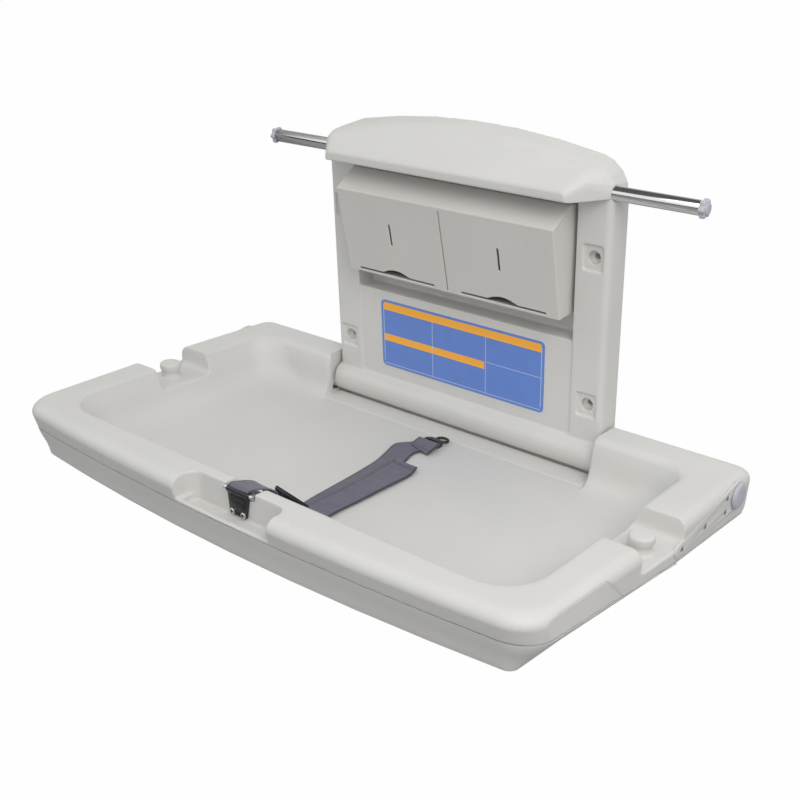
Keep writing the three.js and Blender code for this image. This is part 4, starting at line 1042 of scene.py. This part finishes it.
def scattered(name, places, item, material):
    """One object that holds a copy of item at each place (point, heading, size), in bed millimetres."""
    mesh = bpy.data.meshes.new(name)
    mesh.from_pydata([BED @ (Vector(at) * MM) for at, way, size in places], [], [])
    mesh.attributes.new("facing", "FLOAT_VECTOR", "POINT")
    mesh.attributes.new("reach", "FLOAT", "POINT")
    facing, reach = (mesh.attributes[key].data for key in ("facing", "reach"))
    for i, (at, way, size) in enumerate(places):
        facing[i].vector = BED.to_3x3() @ Vector(way)
        reach[i].value = size
    obj = bpy.data.objects.new(name, mesh)
    bpy.context.scene.collection.objects.link(obj)
    step = obj.modifiers.new("places", "NODES")
    step.node_group = scatter_tree(name, item, material)
    settle(obj)
    bpy.data.objects.remove(item)
    return obj


def oval_ring(name, centre, radius, wire, wide, long):
    """A closed oval of round wire, flat in the bed's plane."""
    bm = bmesh.new()
    loops = []
    for i in range(48):
        t = 2 * math.pi * i / 48
        out = Vector((math.cos(t) * wide, math.sin(t) * long, 0))
        ways = [(math.cos(2 * math.pi * j / 12), math.sin(2 * math.pi * j / 12)) for j in range(12)]
        spots = [Vector(centre) + out * radius + out.normalized() * (a * wire) + Vector((0, 0, b * wire)) for a, b in ways]
        loops.append([bm.verts.new(spot * MM) for spot in spots])
    for i in range(48):
        for j in range(12):
            near, far, k = loops[i], loops[(i + 1) % 48], (j + 1) % 12
            bm.faces.new((near[j], near[k], far[k], far[j]))
    return collect(name, bm)


class STATION_OT_strap(bpy.types.Operator):
    """Lay the safety strap with its bracket, buckle and clip"""
    bl_idname = "station.strap"
    bl_label = "Safety Strap"

    def execute(self, context):
        sizes = context.scene.station_strap
        self.lay("strap_band", MAIN, sizes, "strap_main")
        self.lay("strap_loose_end", TAIL, sizes, "strap_tail")
        self.lay("strap_over_rim", OVER_RIM, sizes, "strap_front", pinch=5.0)
        self.lay("strap_loop", LOOP, sizes)
        thread = turned("thread", ((-0.95, 0.12), (-0.7, 0.26), (0.7, 0.26), (0.95, 0.12)), "Z", (0, 0, 0), 8)
        stitches = scattered("strap_stitches", [(at, way, 1.0) for at, way in stitch_points()],
                             thread, finish_named("webbing"))
        finish_piece(stitches, "bed", "webbing", finish_named("thread"))
        self.bracket()
        self.clip()
        buckle = bevelled(copied("cam_buckle", "cam_buckle_piece"), 0.6, 2)
        finish_piece(buckle, "bed", "black", finish_named("black"), "cam_buckle")
        return {"FINISHED"}

    def lay(self, name, rows, sizes, *nodes, pinch=0.0):
        width = sizes.width - pinch * MM
        strip, length = band(name, rows, width, sizes.thickness)
        finish_piece(strip, "bed", "webbing", finish_named("webbing"), *nodes)

    def bracket(self):
        outline = rounded_ring([(-13.5, -14, 2.5), (13.5, -14, 2.5), (17.7, 14, 0), (-17.7, 14, 0)])
        plate = prism("strap_bracket_piece", outline, "Y", -419.7, -417.3)
        pad = rounded_ring([(-9.5, -4.5, 2), (9.5, -4.5, 2), (13.4, 10.5, 1), (-13.4, 10.5, 1)])
        slot = rounded_ring([(-3.2, -10.6, 0.5), (3.2, -10.6, 0.5), (3.2, -9.4, 0.5), (-3.2, -9.4, 0.5)])
        at = (0, -417.6, 16.5)
        barrel = turned("barrel", ((-17.7, 4.2), (-17.5, 4.4), (17.5, 4.4), (17.7, 4.2)), "X", at)
        combine(plate, "UNION", barrel, prism("pad", pad, "Y", -420.4, -418))
        combine(plate, "DIFFERENCE", turned("bore", ((-30, 3.2), (30, 3.2)), "X", at), prism("slot", slot, "Y", -421, -419))
        plate.data.transform(BED)
        finish_piece(bevelled(plate, 0.35, 2), "bed", "black", finish_named("black"), "strap_bracket")
        bar = turned("roller_bar_piece", ((-24, 2.2), (-23.4, 3), (23.4, 3), (24, 2.2)), "X", at, 48, BED)
        finish_piece(smooth_edges(bar, 50), "bed", "steel", finish_named("steel"), "roller_bar")

    def clip(self):
        outline = rounded_ring([(-13, -58, 2), (17, -58, 2), (16.5, -47, 3), (8, -42, 3), (-5, -42, 3), (-12.5, -47, 3)], 5)
        body = bevelled(prism("strap_clip_piece", outline, "Z", -45.7, -38.7), 1.2, 3)
        combine(body, "UNION", oval_ring("ring", (8, -37, -41.7), 8, 1.9, 1.1, 0.85))
        combine(body, "DIFFERENCE", block("window", (-8, -54.5, -40.2), (12, -51.5, -38)))
        body.data.transform(BED)
        finish_piece(smooth_edges(body, 40), "bed", "black", finish_named("black"), "strap_clip")


# Stage

def backdrop(color):
    """A floor that is near white to the camera and keeps a soft shadow."""
    finish = Finish("pale_floor")
    seen = finish.node("ShaderNodeLightPath", output="Is Camera Ray")
    paths = seen.socket.node.outputs
    mirrored_in = Value(finish, paths["Is Glossy Ray"]) + Value(finish, paths["Is Transmission Ray"])
    finish.set(Base_Color=color, Roughness=0.9)
    glow = finish.node("ShaderNodeEmission", {}, {"Color": (1.0, 1.0, 1.0, 1.0), "Strength": 1.0})
    output = finish.tree.nodes["Material Output"]
    bsdf = Value(finish, finish.shader.outputs[0])
    share = seen * 0.985 + mirrored_in * 0.1
    mixed = finish.node("ShaderNodeMixShader", {}, {0: share, 1: bsdf, 2: glow})
    finish.tree.links.new(mixed.socket, output.inputs["Surface"])
    return finish.material


def area_lamp(name, place, target, size, power, color):
    data = bpy.data.lights.new(name, "AREA")
    data.shape = "DISK"
    data.size = size
    data.energy = power
    data.color = color
    lamp = bpy.data.objects.new(name, data)
    lamp.location = place
    lamp.rotation_euler = (Vector(target) - Vector(place)).to_track_quat("-Z", "Y").to_euler()
    bpy.context.scene.collection.objects.link(lamp)


class STATION_OT_stage(bpy.types.Operator):
    """Set up the pale floor, the soft lamps, the world and the camera"""
    bl_idname = "station.stage"
    bl_label = "Stage"

    def execute(self, context):
        sizes = context.scene.station_stage
        floor = block("floor", (-30000, -30000, -520), (30000, 30000, -500))
        floor.data.materials.append(backdrop(tint(sizes.floor, 1)))
        area_lamp("key", (1.25, -0.9, 1.45), (0.1, -0.25, 0.1), 1.4, sizes.key, (1.0, 0.99, 0.975))
        area_lamp("fill", (-1.8, -1.6, 1.5), (0, -0.25, 0.1), 1.6, sizes.fill, (0.97, 0.98, 1.0))
        self.sky(context.scene, sizes.sky)
        self.camera(context.scene)
        context.scene.view_settings.view_transform = "Standard"
        return {"FINISHED"}

    def sky(self, scene, strength):
        """White to the camera; bright metal sees a pale room with a dark ceiling and a dark skyline."""
        world = bpy.data.worlds.new("pale_sky")
        scene.world = world
        world.use_nodes = True
        room = Room(world)
        paths = room.node("ShaderNodeLightPath").socket.node.outputs
        seen = Value(room, paths["Is Camera Ray"])
        shown = Value(room, paths["Is Glossy Ray"]).math("MAXIMUM", Value(room, paths["Is Transmission Ray"]))
        way = room.node("ShaderNodeTexCoord", output="Generated")
        parts = room.node("ShaderNodeSeparateXYZ", {}, {0: way}).socket.node.outputs
        back, up = Value(room, parts["Y"]), Value(room, parts["Z"])
        front = room.ramp(up * 0.5 + 0.5, (0.55, 0.03), (0.575, 1.15), (0.865, 1.15), (0.885, 0.12))
        rear = room.ramp(up * 0.5 + 0.5, (0.5, 0.5), (0.85, 0.62), (0.885, 0.12))
        side = (back * 6.0 + 0.5).math("MAXIMUM", 0.0).math("MINIMUM", 1.0)
        mirror = front * (1.0 - side) + rear * side
        level_of = seen + shown * mirror + (1.0 - seen - shown) * strength
        room.feed(room.shader.inputs["Strength"], level_of)

    def camera(self, scene):
        azimuth, elevation, roll = (math.radians(v) for v in (39.97, 26.05, -1.76))
        back = Vector((math.sin(azimuth) * math.cos(elevation), -math.cos(azimuth) * math.cos(elevation), math.sin(elevation)))
        right = (-back).cross(Vector((0, 0, 1))).normalized()
        up = right.cross(-back)
        across = right * math.cos(roll) + up * math.sin(roll)
        upright = up * math.cos(roll) - right * math.sin(roll)
        data = bpy.data.cameras.new("photo_view")
        data.sensor_width = 36.0
        data.lens = 1126.5 * 36.0 / 800.0
        camera = bpy.data.objects.new("photo_view", data)
        place = Matrix((across, upright, back)).transposed().to_4x4()
        place.translation = Vector((65.86, -250.14, 96.51)) * MM + back * 1.38247
        camera.matrix_world = place
        scene.collection.objects.link(camera)
        scene.camera = camera


class STATION_PT_sidebar(bpy.types.Panel):
    """The station's sizes, colours and steps"""
    bl_idname = "STATION_PT_sidebar"
    bl_label = "Changing Station"
    bl_space_type = "VIEW_3D"
    bl_region_type = "UI"
    bl_category = "Changing Station"

    def draw(self, context):
        for group in SETTINGS:
            settings = getattr(context.scene, group)
            column = self.layout.column(align=True)
            for name in settings.bl_rna.properties.keys():
                if name not in ("rna_type", "name"):
                    column.prop(settings, name)
        for step in STEPS:
            self.layout.operator(step.bl_idname)


STEPS = (
    STATION_OT_stage, STATION_OT_bed_shell, STATION_OT_bed_pan, STATION_OT_hinges, STATION_OT_screws,
    STATION_OT_wall_plate, STATION_OT_dispenser, STATION_OT_panel, STATION_OT_rail, STATION_OT_strap,
)
CLASSES = (*SETTINGS.values(), *STEPS, STATION_PT_sidebar)


def register():
    for item in CLASSES:
        bpy.utils.register_class(item)
    for name, group in SETTINGS.items():
        setattr(bpy.types.Scene, name, bpy.props.PointerProperty(type=group))


def unregister():
    for name in SETTINGS:
        delattr(bpy.types.Scene, name)
    for item in reversed(CLASSES):
        bpy.utils.unregister_class(item)


def main():
    register()
    for step in STEPS:
        group, name = step.bl_idname.split(".")
        getattr(getattr(bpy.ops, group), name)()


if __name__ == "__main__":
    main()
